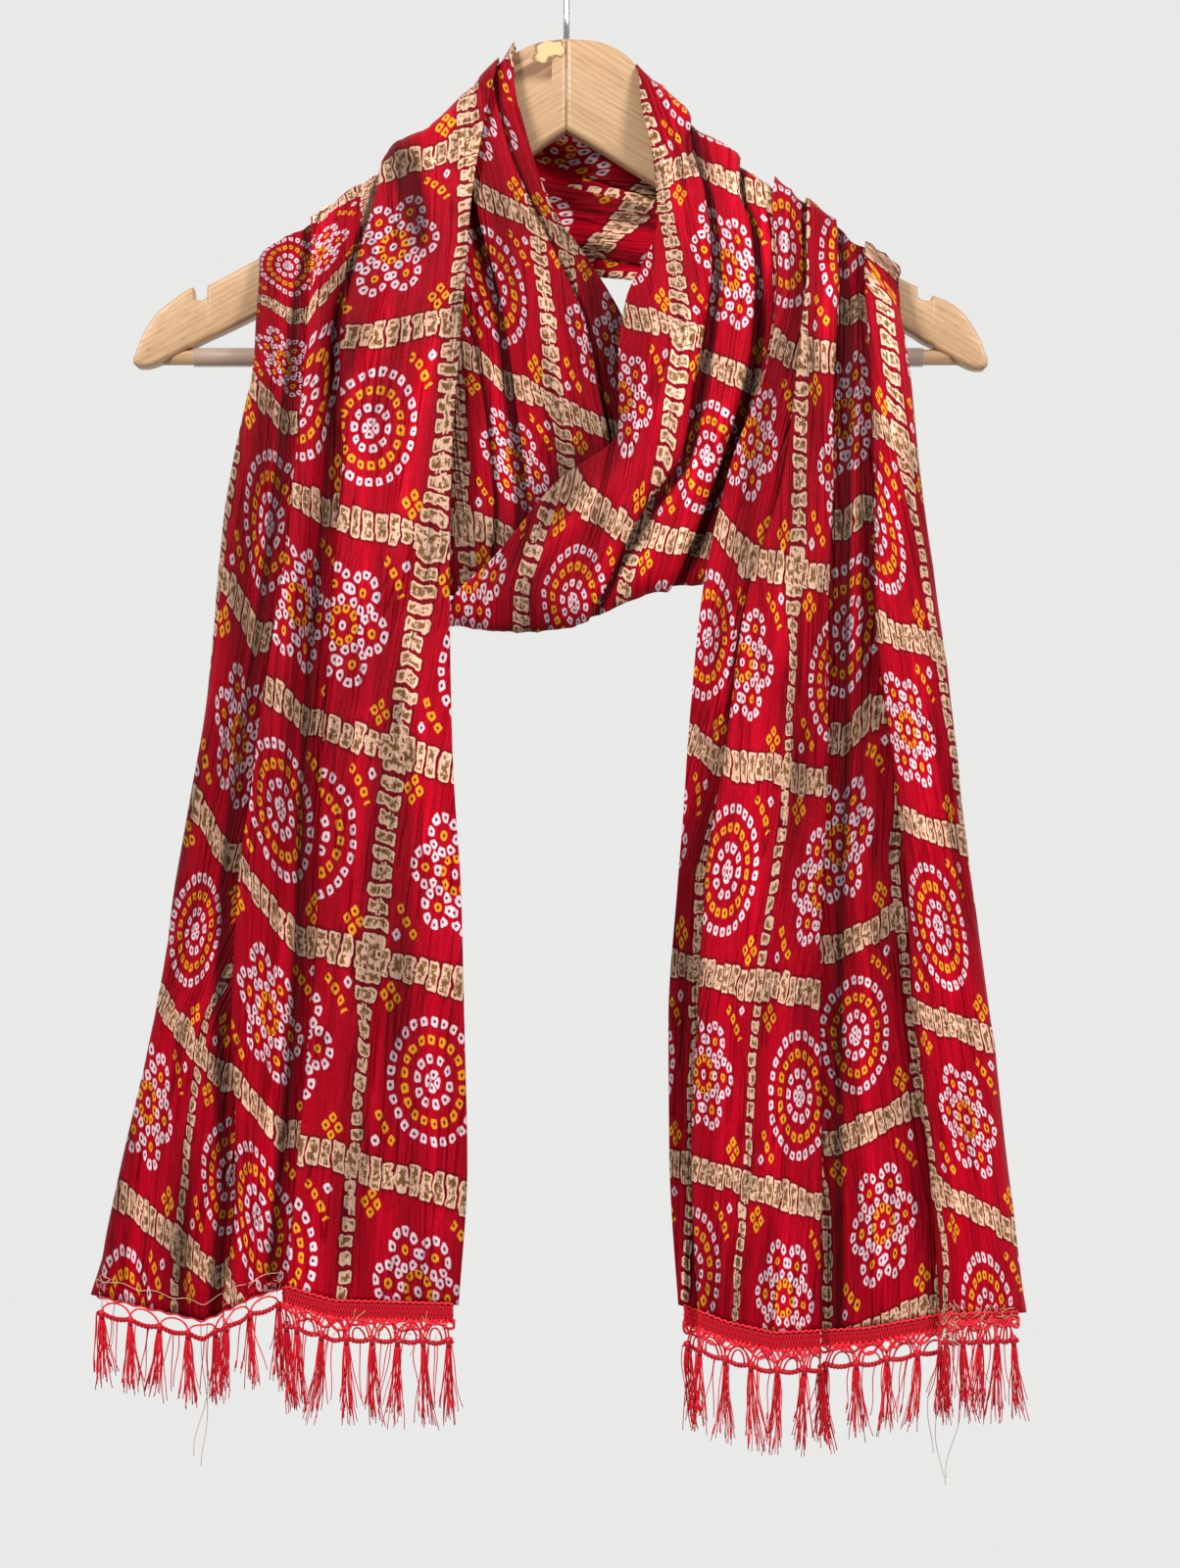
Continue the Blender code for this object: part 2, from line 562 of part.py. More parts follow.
# Wooden hanger with its hook and trouser bar
left_wing = wing("hanger_left_wing", LEFT_WING, -1)
right_wing = wing("hanger_right_wing", RIGHT_WING, 1)
SOCKET = ROD_RADIUS + SEAM_GAP
for side in (left_wing, right_wing):
    drilled(side, (SEAM_X, 0, WOOD_TOP_Z + 5), (SEAM_X, 0, WOOD_TOP_Z - SOCKET_DEPTH), SOCKET)
hole = DOWEL_RADIUS + SEAM_GAP
for side, way in ((left_wing, -1), (right_wing, 1)):
    drilled(side, (way * 170, BAR_Y, BAR_Z), (way * (DOWEL_HALF + 0.5), BAR_Y, BAR_Z), hole)

turns = np.radians(np.linspace(-55, 205, 20))
ring = [(HOOK_RADIUS * math.cos(t), HOOK_RADIUS * math.sin(t) - HOOK_RADIUS + ROD_RADIUS) for t in turns]
shank = [(SEAM_X, WOOD_TOP_Z - SOCKET_DEPTH + SEAM_GAP), (SEAM_X, -60.0), (SEAM_X + 0.3, -52.5), (5.2, -44.4)]
rod("hanger_hook", shank + ring, ROD_RADIUS, 8)

turns = np.arange(14) * 2 * math.pi / 14
dowel = [np.array([(x, BAR_Y + DOWEL_RADIUS * math.cos(t), BAR_Z + DOWEL_RADIUS * math.sin(t)) for t in turns])
         for x in (-DOWEL_HALF, DOWEL_HALF)]
loft("trouser_bar", dowel)
tube("bar_sleeve", SLEEVE_LEFT, SLEEVE_RIGHT, SLEEVE_INSIDE, SLEEVE_OUTSIDE)

# Stretches of cloth
TAILS = {
    "left": (LEFT_TAIL, cloth_middle(LEFT_TAIL, OUTSIDE_FOLDS, LEFT_HEM)),
    "right": (RIGHT_TAIL, cloth_middle(RIGHT_TAIL, INSIDE_FOLDS, RIGHT_HEM)),
}
walled("left_tail", TAILS["left"][1], WALL)
walled("right_tail", TAILS["right"][1], WALL)
walled("left_band", cloth_middle(LEFT_BAND, INSIDE_FOLDS), WALL)
walled("right_band", cloth_middle(RIGHT_BAND, OUTSIDE_FOLDS), WALL)
walled("left_wrap", cloth_middle(LEFT_WRAP, OUTSIDE_FOLDS, gap=CLOTH_SEAM), WALL)
walled("right_wrap", cloth_middle(RIGHT_WRAP, INSIDE_FOLDS, gap=CLOTH_SEAM), WALL)

# Hem trims
for name, tail, start, end, tassels, header, loop, chain, strand in TRIMS:
    rows, grid = TAILS[tail]
    trim(name, hem_line(grid, start, end, rows), tassels, header, loop, chain, strand)
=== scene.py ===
"""Looks of the dupatta stole on its wooden hanger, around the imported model.

The cloth's tables are in the units of a front view: x runs right and y down, UNIT millimetres each. Depths and
other sizes are in millimetres, and become metres when a mesh is made.
"""
import math

import bmesh
import bpy
import numpy as np
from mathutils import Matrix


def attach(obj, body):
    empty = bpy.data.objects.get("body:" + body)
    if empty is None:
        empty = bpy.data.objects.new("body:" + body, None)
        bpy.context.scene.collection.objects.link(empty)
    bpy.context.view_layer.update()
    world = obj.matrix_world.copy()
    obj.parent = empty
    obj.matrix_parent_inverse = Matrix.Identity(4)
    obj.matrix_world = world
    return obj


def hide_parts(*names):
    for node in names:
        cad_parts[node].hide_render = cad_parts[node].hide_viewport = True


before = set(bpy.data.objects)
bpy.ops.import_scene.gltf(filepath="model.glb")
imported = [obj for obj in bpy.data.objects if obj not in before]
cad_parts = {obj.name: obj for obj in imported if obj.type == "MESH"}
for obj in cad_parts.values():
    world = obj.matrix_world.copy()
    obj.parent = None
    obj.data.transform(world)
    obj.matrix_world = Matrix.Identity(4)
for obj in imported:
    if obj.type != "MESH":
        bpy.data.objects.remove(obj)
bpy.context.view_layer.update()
chance = np.random.default_rng(7)

# Front view and camera
UNIT = 0.517
MIDDLE = 575.0
WOOD_TOP_Z, WOOD_TOP = -82.0, 42.0
EYE_X, EYE_Z, EYE_AWAY = 14.0, -474.0, 1300.0
VIEW_HEIGHT = 827.2  # mm of the plane y = 0 that the frame's long side shows
SENSOR = 36.0

# Hanger
WOOD_THICK = 13.0
WOOD_ROUND, CORNER_POINTS = 3.0, 5
WING_STEP = 2.5
TIP_FORWARD, WING_REACH = 14.0, 222.0
SEAM_GAP, SEAM_X, SEAM_FOOT = 0.3, 1.6, 135.0
ROD_RADIUS, HOOK_RADIUS, SOCKET_DEPTH = 1.7, 21.7, 14.0
BAR_Z, BAR_Y = -251.0, -12.0
DOWEL_RADIUS, DOWEL_HALF = 4.1, 209.0
SLEEVE_INSIDE, SLEEVE_OUTSIDE, SLEEVE_LEFT, SLEEVE_RIGHT = 4.4, 5.0, -193.0, 188.0
SLEEVE_RIBS, RIB_DEPTH = 24, 0.3

# Cloth
THIN = 0.5  # of the shown cloth
LAYER, LOW = 4.5, 3.0
EDGE_IN, EDGE_LIFT = 3.0, 1.5
BACK_LAYER, BACK_SHARE, BACK_WIDENS, BACK_START = -5.5, 0.5, 110.0, 0.08
BACK_LEAST = (6.0, 4.5, 3.0)
STEEP = 0.6  # folds are spread evenly on a base line that runs sideways for less than this share of its width
STEP = 4.2
HEM_RISE = 160.0
# The loop's lower turn hangs down by BELLY between two table x, and rises again over BELLY_RISE mm
BELLY, BELLY_FROM, BELLY_TO, BELLY_RISE = 14.0, 457.0, 658.0, 90.0
FRONT_COLUMNS = 8
FOLD_SAMPLES, PANEL_SAMPLES, BACK_SAMPLES = 3, 26, 9
LEAST_GAP = 0.05
NOISE_CELLS = 96

# Wings: table x, top y, bottom y
LEFT_WING = (
    (555, 45, 150), (540, 49.5, 161), (525, 58, 170), (510, 75, 179), (495, 100, 188), (475, 132, 200),
    (450, 159, 215), (360, 214, 269), (268, 268, 325), (222, 294, 348.5), (216.5, 297, 351), (216, 308, 351.4),
    (209, 312, 355), (202, 308, 359), (201.5, 299, 359.6), (197, 301, 361), (182, 312, 369), (165, 327, 378),
    (154, 344, 381), (147, 361, 381), (143.5, 372, 378),
)
RIGHT_WING = (
    (610, 45, 154), (626, 51, 164), (640, 60, 173), (650, 72, 179), (660, 90, 185), (672, 118, 192),
    (690, 141, 203), (715, 170, 218), (815, 230, 278.5), (915, 289, 339), (928, 296, 347), (932.5, 298, 350),
    (933, 308, 350.4), (940, 312, 355), (947.5, 312, 359), (948, 307, 359.6), (953, 309, 363), (967, 316, 371),
    (980, 328, 379), (992, 347, 383), (998, 361, 383), (1001.5, 372, 380),
)

# One row for each section of a stretch: outer x, outer y, inner x, inner y, depth, turn, flatness, sag, then
# each fold's x and the tuck under it
LEFT_TAIL = (
    (272, 266, 515, 70, 9, 125, 0.45, 4.5, 322, 5, 396, 5),
    (270, 264, 515, 66, 0, 90, 0.45, 4.5, 320, 6, 394, 6),
    (268, 264, 513, 71, -10, 60, 0.5, 4.5, 318, 7, 390, 7),
    (267, 289, 502, 102, -15, 20, 0.7, 2.5, 317, 8, 385, 8),
    (265, 315, 482, 200, -22, 5, 0.9, 1, 314, 11, 368, 10),
    (262, 350, 471, 330, -26, 0, 1, 0, 312, 12, 352, 12),
    (242, 465, 461, 465, -28, 0, 1, 0, 303, 14, 350, 14),
    (222, 600, 459, 600, -29, 0, 1, 0, 286, 15, 340, 16),
    (207, 760, 462, 770, -29, 0, 1, 0, 262, 14, 330, 18),
    (180, 920, 471, 920, -29, 0, 1, 0, 242, 12, 326, 18),
    (158, 1040, 474, 1050, -29, 0, 1, 0, 238, 12, 317, 16),
    (127, 1190, 477, 1190, -29, 0, 1, 0, 240, 11, 303, 15),
    (96, 1322, 468, 1332, -29, 0, 1, 0, 228, 10, 290, 14),
)
RIGHT_TAIL = (
    (917, 287, 788, 188, 9, 125, 0.4, 0, 879, 5, 849, 5, 818, 4),
    (918, 283, 787, 185, 0, 90, 0.4, 0, 879, 6, 849, 6, 818, 4),
    (919, 280, 787, 190, -11, 60, 0.45, 0, 879, 7, 850, 7, 819, 4),
    (918, 316, 786, 210, -17, 20, 0.65, 0, 880, 8, 852, 8, 820, 5),
    (922, 345, 792, 262, -28, 5, 0.9, 0, 884, 10, 855, 10, 822, 6),
    (928, 385, 790, 335, -33, 0, 1, 0, 888, 12, 853, 11, 816, 7),
    (940, 480, 744, 480, -35, 0, 1, 0, 892, 13, 850, 13, 800, 8),
    (957, 620, 716, 610, -36, 0, 1, 0, 894, 14, 848, 14, 762, 9),
    (975, 760, 702, 755, -35, 0, 1, 0, 908, 15, 846, 15, 742, 9),
    (990, 900, 693, 900, -34, 0, 1, 0, 925, 16, 840, 16, 720, 8),
    (1005, 1020, 683, 1040, -33, 0, 1, 0, 931, 16, 838, 16, 712, 7),
    (1024, 1180, 684, 1180, -32, 0, 1, 0, 948, 16, 838, 16, 706, 6),
    (1042, 1342, 692, 1345, -32, 0, 1, 0, 960, 15, 838, 16, 712, 5),
)
LEFT_BAND = (
    (412, 178, 527, 48, 8, 125, 0.2, 3, 438, 3, 466, 3, 500, 3),
    (412, 175, 527, 45, 0, 90, 0.2, 3, 438, 3, 466, 3, 500, 3),
    (412, 177, 527, 48, -8.5, 60, 0.25, 3, 438, 3, 466, 3, 501, 3),
    (412, 199, 525, 78, -12, 15, 0.35, 2, 440, 3, 468, 3, 505, 3),
    (424, 236, 538, 138, -15, 0, 0.5, 0, 448, 3, 480, 4, 520, 4),
    (440, 275, 563, 210, -18, 0, 0.7, 0, 460, 4, 495, 4, 547, 5),
    (446, 322, 600, 264, -18, 0, 0.75, 0, 474, 4, 510, 5, 574, 6),
    (450, 380, 634, 320, -17, 0, 0.75, 0, 486, 4, 520, 5, 598, 7),
    (444, 440, 662, 392, -15.5, 0, 0.6, 0, 496, 4, 528, 5, 612, 6),
    (440, 520, 690, 482, -14.5, 0, 0.4, 0, 504, 4, 540, 4, 632, 4),
    (440, 580, 708, 540, -15, 0, 0.25, 0, 500, 3, 545, 3, 645, 3),
    (452, 608, 712, 564, -15.5, 0, 0.2, 0, 500, 3, 548, 3, 650, 3),
)
RIGHT_BAND = (
    (790, 204, 646, 72, 9, 125, 0.4, 3, 752, 6, 702, 6),
    (790, 201, 646, 69, 0, 90, 0.4, 3, 752, 6, 702, 6),
    (790, 204, 648, 72, -9, 60, 0.45, 3, 752, 6, 703, 6),
    (791, 228, 652, 104, -13, 20, 0.65, 1.5, 752, 7, 706, 7),
    (802, 264, 665, 152, -21, 0, 0.85, 0, 764, 8, 718, 8),
    (803, 312, 671, 224, -24, 0, 0.9, 0, 768, 8, 724, 9),
    (800, 372, 638, 308, -25, 0, 0.9, 0, 764, 8, 716, 10),
    (786, 432, 631, 362, -25, 0, 0.85, 0, 750, 8, 706, 10),
    (768, 484, 631, 436, -25, 0, 0.8, 0, 734, 7, 696, 8),
    (752, 534, 564, 494, -25, 0, 0.7, 0, 716, 7, 660, 8),
    (740, 568, 502, 562, -25, 0, 0.6, 0, 700, 6, 630, 8),
    (730, 584, 462, 606, -25.5, -15, 0.5, 0, 690, 5, 610, 7),
    (722, 591, 453, 631, -23.5, -60, 0.3, 0, 682, 4, 600, 6),
    (719, 590, 454, 633, -20.5, -110, 0.25, 0, 680, 4, 598, 5),
    (716, 580, 456, 625, -18, -160, 0.25, 0, 678, 4, 596, 4),
    (712, 566, 460, 610, -16.5, -175, 0.2, 0, 676, 3, 596, 3),
)
# The wraps start and end on the first rows of the stretches that they join
LEFT_WRAP = (
    LEFT_TAIL[0],
    (290, 292, 503, 92, 24, 160, 0.6, 3, 336, 5, 402, 5),
    (350, 318, 512, 106, 33, 178, 0.6, 1, 388, 6, 436, 6),
    (440, 318, 530, 108, 37, 180, 0.6, 0, 466, 7, 490, 7),
    (530, 296, 558, 105, 38, 180, 0.6, 0, 540, 7, 549, 7),
    (620, 281, 595, 100, 38, 180, 0.6, 0, 612, 7, 604, 7),
    (705, 262, 628, 92, 35, 178, 0.6, 0, 680, 7, 654, 7),
    (766, 238, 643, 86, 26, 162, 0.55, 1, 730, 6, 690, 6),
    RIGHT_BAND[0],
)
RIGHT_WRAP = (
    LEFT_BAND[0],
    (420, 208, 532, 70, 12, 155, 0.25, 2, 446, 4, 476, 4, 506, 4),
    (470, 258, 552, 102, 15, 178, 0.35, 0, 490, 5, 512, 5, 534, 5),
    (560, 284, 592, 122, 17, 180, 0.45, 0, 569, 6, 577, 6, 586, 6),
    (650, 293, 656, 150, 16, 180, 0.45, 0, 652, 6, 653, 6, 655, 6),
    (735, 305, 720, 190, 15, 180, 0.42, 0, 731, 5, 728, 5, 724, 5),
    (815, 322, 770, 226, 14, 180, 0.38, 0, 802, 5, 792, 4, 780, 4),
    (885, 332, 796, 222, 14, 160, 0.45, 0, 860, 5, 838, 4, 816, 4),
    RIGHT_TAIL[0],
)
INNER_ON_TOP, OUTER_ON_TOP = -1, 1
OUTSIDE_FOLDS = (INNER_ON_TOP, INNER_ON_TOP)
INSIDE_FOLDS = (OUTER_ON_TOP, INNER_ON_TOP, OUTER_ON_TOP)

# How far the hem hangs below its base line: share of the width from the outer edge, drop in mm
LEFT_HEM = ((0, 0), (0.15, 6), (0.3, 12), (0.45, -2), (0.52, -7), (0.66, 0), (1, 0))
RIGHT_HEM = ((0, -1), (0.23, 0), (0.45, 7), (0.58, 8), (0.72, 9), (0.86, 3), (1, -7))

# Print: one cell is CELL mm each way pressed flat. Crinkled, it is CELL_Y long in the view and as wide as its
# panel says
CELL_Y, CELL = 216.0, 111.0
PLAIN_CELL = 130.0  # width where no panel says
OVERRUN = 0.2  # share of a panel's width that its bands run on for at each side
# Lengthwise places, one line for each panel from the outer edge: cell number, a cell's width, then y and x
LEFT_TAIL_LINES = (
    (-2, 92, ((300, 340), (465, 330), (600, 312), (760, 288), (900, 264), (985, 233), (1050, 208), (1180, 190),
              (1300, 178))),
    (-1.5, 110, ((300, 322), (420, 306), (615, 304), (700, 296), (840, 284), (1030, 276), (1225, 266),
                 (1330, 260))),
    (1, 152, ((250, 478), (420, 456), (560, 440), (700, 415), (830, 395), (930, 385), (1060, 370), (1230, 355),
              (1330, 350))),
)
RIGHT_TAIL_LINES = (
    (3.5, 84, ((200, 790), (250, 828), (300, 857), (400, 870), (520, 890), (660, 914), (740, 926), (925, 955),
               (1130, 985), (1290, 1008))),
    (1.5, 112, ((300, 860), (650, 866), (880, 856), (1050, 872), (1240, 902))),
    (1, 98, ((300, 818), (540, 815), (830, 800), (900, 790), (1040, 770), (1150, 765), (1340, 750))),
    (-0.5, 98, ((300, 800), (440, 768), (650, 722), (780, 690), (900, 664), (1340, 650))),
)
LEFT_BAND_LINES = 2 * ((0, 116, ((100, 425), (180, 432), (300, 457), (600, 478))),) + (
    (1, 104, ((100, 520), (180, 540), (240, 550), (400, 565), (440, 575), (600, 590))),
    (1, 104, ((100, 535), (180, 560), (240, 578), (400, 592), (440, 600), (600, 615))),
)
RIGHT_BAND_LINES = 2 * ((2, 104, ((100, 775), (200, 790), (300, 800), (500, 770), (600, 740))),) + (
    (1, 108, ((60, 640), (160, 672), (340, 698), (440, 684), (500, 672), (600, 640))),
)
# Crosswise bands: the band's number, then its y at the outer and inner side of each panel from the outer edge
LEFT_TAIL_BANDS = (
    (-1, 225, 215, 215, 180, 175, 140),
    (0, 305, 325, 320, 262, 345, 326),
    (1, 385, 428, 505, 522, 525, 560),
    (2, 585, 650, 700, 738, 742, 785),
    (3, 818, 875, 885, 962, 962, 1005),
    (4, 1015, 1100, 1104, 1160, 1172, 1222),
    (5, 1215, 1300, 1310, 1370, 1388, 1438),
)
RIGHT_TAIL_BANDS = (
    (2, 262, 240, 310, 322, 365, 362, 362, 350),
    (3, 472, 430, 520, 535, 592, 575, 575, 530),
    (4, 666, 640, 725, 756, 800, 775, 775, 750),
    (5, 860, 835, 938, 968, 1016, 995, 990, 984),
    (6, 1062, 1034, 1128, 1165, 1232, 1192, 1190, 1185),
    (7, 1256, 1210, 1335, 1375, 1442, 1404, 1400, 1395),
)
LEFT_BAND_BANDS = (
    (-1, -30, -30, -30, -10, -10, 30, 30, 50),
    (0, 160, 165, 165, 190, 190, 230, 235, 250),
    (1, 355, 370, 370, 395, 395, 440, 440, 460),
    (2, 530, 540, 540, 560, 560, 620, 620, 640),
)
RIGHT_BAND_BANDS = (
    (-1, -20, -25, -25, -30, -30, -20),
    (0, 200, 190, 185, 168, 165, 185),
    (1, 392, 388, 385, 372, 345, 318),
    (2, 560, 556, 556, 545, 545, 488),
    (3, 740, 730, 730, 700, 700, 680),
)

# Creases of a stretch's front, as lines in the view: x, y from, x, y to, width, height in mm
LEFT_CREASES = (
    (395, 300, 366, 400, 5, 2.2), (366, 400, 372, 640, 5, 1.6), (410, 150, 432, 255, 6, -3.0),
    (440, 340, 400, 560, 6, 1.6), (420, 600, 436, 900, 6, 1.4), (372, 700, 352, 1000, 5, 1.5),
    (440, 950, 446, 1300, 6, 1.4), (385, 1040, 392, 1320, 5, 1.3), (345, 150, 300, 330, 6, 1.8),
    (268, 520, 248, 800, 5, 1.6), (225, 900, 190, 1180, 6, 1.6), (290, 900, 276, 1180, 5, 1.3),
    (150, 1180, 130, 1310, 6, 1.5), (205, 1120, 196, 1320, 5, 1.4),
)
RIGHT_CREASES = (
    (755, 600, 740, 780, 5, 1.8), (800, 570, 800, 700, 5, 1.8), (782, 700, 760, 1000, 6, 1.5),
    (815, 640, 812, 900, 5, -1.6), (735, 950, 742, 1300, 6, 1.4), (792, 1010, 800, 1330, 6, 1.5),
    (866, 420, 868, 760, 5, 1.5), (880, 900, 890, 1330, 6, 1.6), (905, 330, 915, 560, 5, 1.5),
    (935, 620, 950, 900, 6, 1.6), (965, 900, 990, 1300, 6, 1.6), (1000, 1120, 1012, 1330, 5, 1.3),
    (850, 240, 840, 380, 5, 1.8),
)
LEFT_BAND_CREASES = (
    (470, 190, 500, 330, 5, 1.5), (505, 330, 520, 520, 5, 1.3), (545, 260, 590, 430, 5, 1.2),
)
RIGHT_BAND_CREASES = (
    (668, 110, 700, 250, 5, 2.0), (775, 190, 790, 300, 5, 1.8), (705, 130, 716, 175, 5, -3.0),
    (700, 330, 660, 470, 6, 1.6), (750, 400, 690, 520, 6, 1.7), (640, 480, 530, 590, 6, 1.6),
    (720, 300, 690, 420, 5, 1.3), (700, 540, 600, 610, 6, 1.4),
)
CREASE_RUN, CREASE_EASE = 0.15, 0.4  # shares of a crease's length past its ends, and over which it fades
# Crinkle: distance across and along the cloth in mm, and height
CRINKLE = ((26, 260, 2.2), (13, 190, 1.2), (7, 120, 0.4))
WRAP_CRINKLE = ((10, 200, 3.4), (24, 240, 2.2), (7, 90, 0.4))
DRIFT, DRIFT_ALONG, DRIFT_ACROSS = 0.5, 90, 60
RIDGE, RIDGE_DIP, RIDGE_SOFT = 1.2, 2.4, 0.02  # the finer crinkle's sharp ridges

# Trims: name, tail, share of its width from and to, tassels, header, loop, chain and strand heights in mm
TRIMS = (
    ("left_outer", "left", 0.015, 0.52, 8, 2.6, 6.5, 2.6, 37.0),
    ("left_inner", "left", 0.515, 0.99, 8, 9.5, 10.0, 3.0, 44.0),
    ("right_outer", "right", 0.02, 0.24, 5, 4.0, 10.0, 3.0, 40.0),
    ("right_middle", "right", 0.24, 0.585, 5, 8.0, 10.0, 3.0, 38.0),
    ("right_inner", "right", 0.585, 0.985, 7, 9.5, 10.0, 3.0, 42.0),
)
TRIM_DROP = -1.0  # the tape starts this far up over the hem line
HEM_POINTS = 90
BARE_HEM = 3.0  # a header no taller than this is turned to the back, with only a stitch line on the front
STITCHES_UP = 9.0
LATTICE = 4.4  # mm from one crossing of the tape's cords to the next but one
CHAIN_LINK = 3.6
BUNCH, TASSEL_THREADS, LOOSE_THREADS = 4.7, 18, 3
THREAD, FINE_THREAD, FRAY = 0.37, 0.22, 0.2
LATTICE_CORD, EDGE_CORD, ARCH_CORD, RIBBON, CHAIN_CORD, TASSEL_KNOT = 0.3, 0.6, 0.5, 0.75, 0.66, 1.35
TAPE_TONE, LATTICE_TONE, CORD_TONE, SATIN_TONE, TASSEL_TONE, STRAY_TONE = 0.0, 0.55, 0.35, 0.8, 0.6, 1.0
# Satin arches between two tassels: how far each is inside the widest and under the highest, in mm, and its tone
ARCHES = ((0.0, 0.0, SATIN_TONE), (1.4, 1.2, TASSEL_TONE), (3.4, 4.0, CORD_TONE))
# Frayed threads: their trim, share of its run from and to, mm below its line from and to, and how many
FRAYS = (
    ("right_outer", 0.0, 1.0, -3.0, 1.0, 60), ("right_outer", 0.8, 1.0, -4.0, 12.0, 60),
    ("right_middle", 0.0, 0.12, -4.0, 12.0, 30), ("left_outer", 0.0, 0.05, -12.0, 2.0, 16),
    ("left_outer", 0.6, 1.0, -8.0, 4.0, 30), ("left_inner", 0.0, 1.0, 8.0, 20.0, 40),
)
# Loose threads: the trim they hang from, x and y where each starts, and its length, drift and wave in mm
STRAYS = (
    ("left_outer", 205, 1345, 78, 3, 3), ("left_outer", 212, 1350, 70, -4, 4),
    ("left_outer", 118, 1325, 45, -6, 3), ("right_inner", 968, 1345, 88, -6, 5),
    ("right_inner", 972, 1350, 82, 2, 6), ("right_inner", 962, 1340, 74, -9, 4),
    ("right_outer", 1000, 1345, 40, 4, 3),
)
STRAY_POINTS, STRAY_Y, STRAY_FORWARD = 24, -36.0, 3.0


def mm(x, y):
    """Table x and y as x and z in mm, in the plane y = 0."""
    return (x - MIDDLE) * UNIT, WOOD_TOP_Z - (y - WOOD_TOP) * UNIT


def bend(x):
    """How far the wings, and the cloth on them, stand forward at x."""
    return -TIP_FORWARD * np.minimum(np.abs(x) / WING_REACH, 1) ** 2


def as_seen(points):
    """Points drawn in towards the eye's line, so that each shows where its table puts it."""
    near = (EYE_AWAY + points[..., 1]) / EYE_AWAY
    moved = points.copy()
    moved[..., 0] = EYE_X + (points[..., 0] - EYE_X) * near
    moved[..., 2] = EYE_Z + (points[..., 2] - EYE_Z) * near
    return moved


def slopes(knots, values):
    """Slopes of a curve that never overshoots its values, one column of values at a time."""
    step = np.diff(knots)[:, None]
    rise = np.diff(values, axis=0) / step
    same = rise[:-1] * rise[1:] > 0
    one, two = 2 * step[1:] + step[:-1], step[1:] + 2 * step[:-1]
    first = np.where(same, rise[:-1], 1.0)
    second = np.where(same, rise[1:], 1.0)
    inner = np.where(same, (one + two) / (one / first + two / second), 0.0)
    return np.vstack([rise[:1], inner, rise[-1:]])


def hermite(t, one, two, leave, arrive):
    """A curve's place at t, from one point to two, with its slopes as it leaves and arrives."""
    places = (2 * t**3 - 3 * t**2 + 1) * one + (3 * t**2 - 2 * t**3) * two
    return places + (t**3 - 2 * t**2 + t) * leave + (t**3 - t**2) * arrive


def smooth(share):
    """A share from 0 to 1 that eases in and out."""
    return share * share * (3 - 2 * share)


def eased(knots, values, at):
    """Values between the rows of a table, smooth and without overshoot."""
    knots, values = np.asarray(knots, float), np.asarray(values, float)
    tilt = slopes(knots, values)
    k = np.clip(np.searchsorted(knots, at, side="right") - 1, 0, len(knots) - 2)
    width = (knots[k + 1] - knots[k])[:, None]
    t = (np.asarray(at)[:, None] - knots[k][:, None]) / width
    return hermite(t, values[k], values[k + 1], width * tilt[k], width * tilt[k + 1])


def rounded(points, counts):
    """A smooth curve through points, with so many samples in each interval."""
    points = np.asarray(points, float)
    full = np.vstack([2 * points[0] - points[1], points, 2 * points[-1] - points[-2]])
    found = []
    for k, count in enumerate(counts):
        a, b, c, d = full[k : k + 4]
        gaps = [max(math.dist(p, q), LEAST_GAP) ** 0.5 for p, q in ((a, b), (b, c), (c, d))]
        start = (b - a) / gaps[0] - (c - a) / (gaps[0] + gaps[1]) + (c - b) / gaps[1]
        end = (c - b) / gaps[1] - (d - b) / (gaps[1] + gaps[2]) + (d - c) / gaps[2]
        t = (np.arange(count) / count)[:, None]
        found.append(hermite(t, b, c, gaps[1] * start, gaps[1] * end))
    return np.vstack(found + [points[-1:]])


TUCKED, BEHIND = -1, -2  # samples that belong to no panel


def section(width, folds, sides, back):
    """One section's path as (along, height) in mm from the outer end of its base line, with samples per
    interval and the panel that each sample belongs to."""
    top = LOW + 2 * LAYER
    path, counts, panels = [], [], []
    if back:
        reach, low = back * BACK_SHARE * width, back * BACK_LAYER
        far, middle, near = BACK_LEAST
        path += [(max(reach, far), low), (max(reach / 2, middle), low), (near, low), (0.0, low / 2 + 1)]
        counts += [2 * BACK_SAMPLES, 2 * BACK_SAMPLES, FOLD_SAMPLES, FOLD_SAMPLES]
        panels += [BEHIND] * 3 + [0]
    first_high = sides[0] == OUTER_ON_TOP
    path += [(EDGE_IN, top - 3 if first_high else LOW + EDGE_LIFT)]
    counts += [PANEL_SAMPLES]
    panels += [0]
    for number, ((edge, tuck), side) in enumerate(zip(folds, sides)):
        if side == INNER_ON_TOP:
            ways = ((-0.5, LOW), (0.5, LOW), (1.0, LOW + 0.5 * LAYER), (0.5, LOW + LAYER))
            ways += ((0.0, LOW + 1.5 * LAYER), (0.5, top))
            panels += [TUCKED] * 4 + [number + 1] * 2
        else:
            ways = ((-0.5, top), (0.0, top - 0.5 * LAYER), (-0.5, top - LAYER))
            ways += ((-1.0, top - 1.5 * LAYER), (-0.5, LOW), (0.5, LOW))
            panels += [number] + [TUCKED] * 4 + [number + 1]
        path += [(edge + share * tuck, height) for share, height in ways]
        counts += [FOLD_SAMPLES] * 5 + [PANEL_SAMPLES]
    last_high = sides[-1] == INNER_ON_TOP
    reached = folds[-1][0] + folds[-1][1] * 0.5
    path += [(reached + (width - reached) * 0.5, top - 4 if last_high else LOW + EDGE_LIFT)]
    path += [(width, 7.0 if last_high else 6.0)]
    counts += [PANEL_SAMPLES]
    panels += [len(sides)]
    owner = np.repeat(panels, counts).tolist() + [len(sides)]
    return np.array(path), counts, np.array(owner)


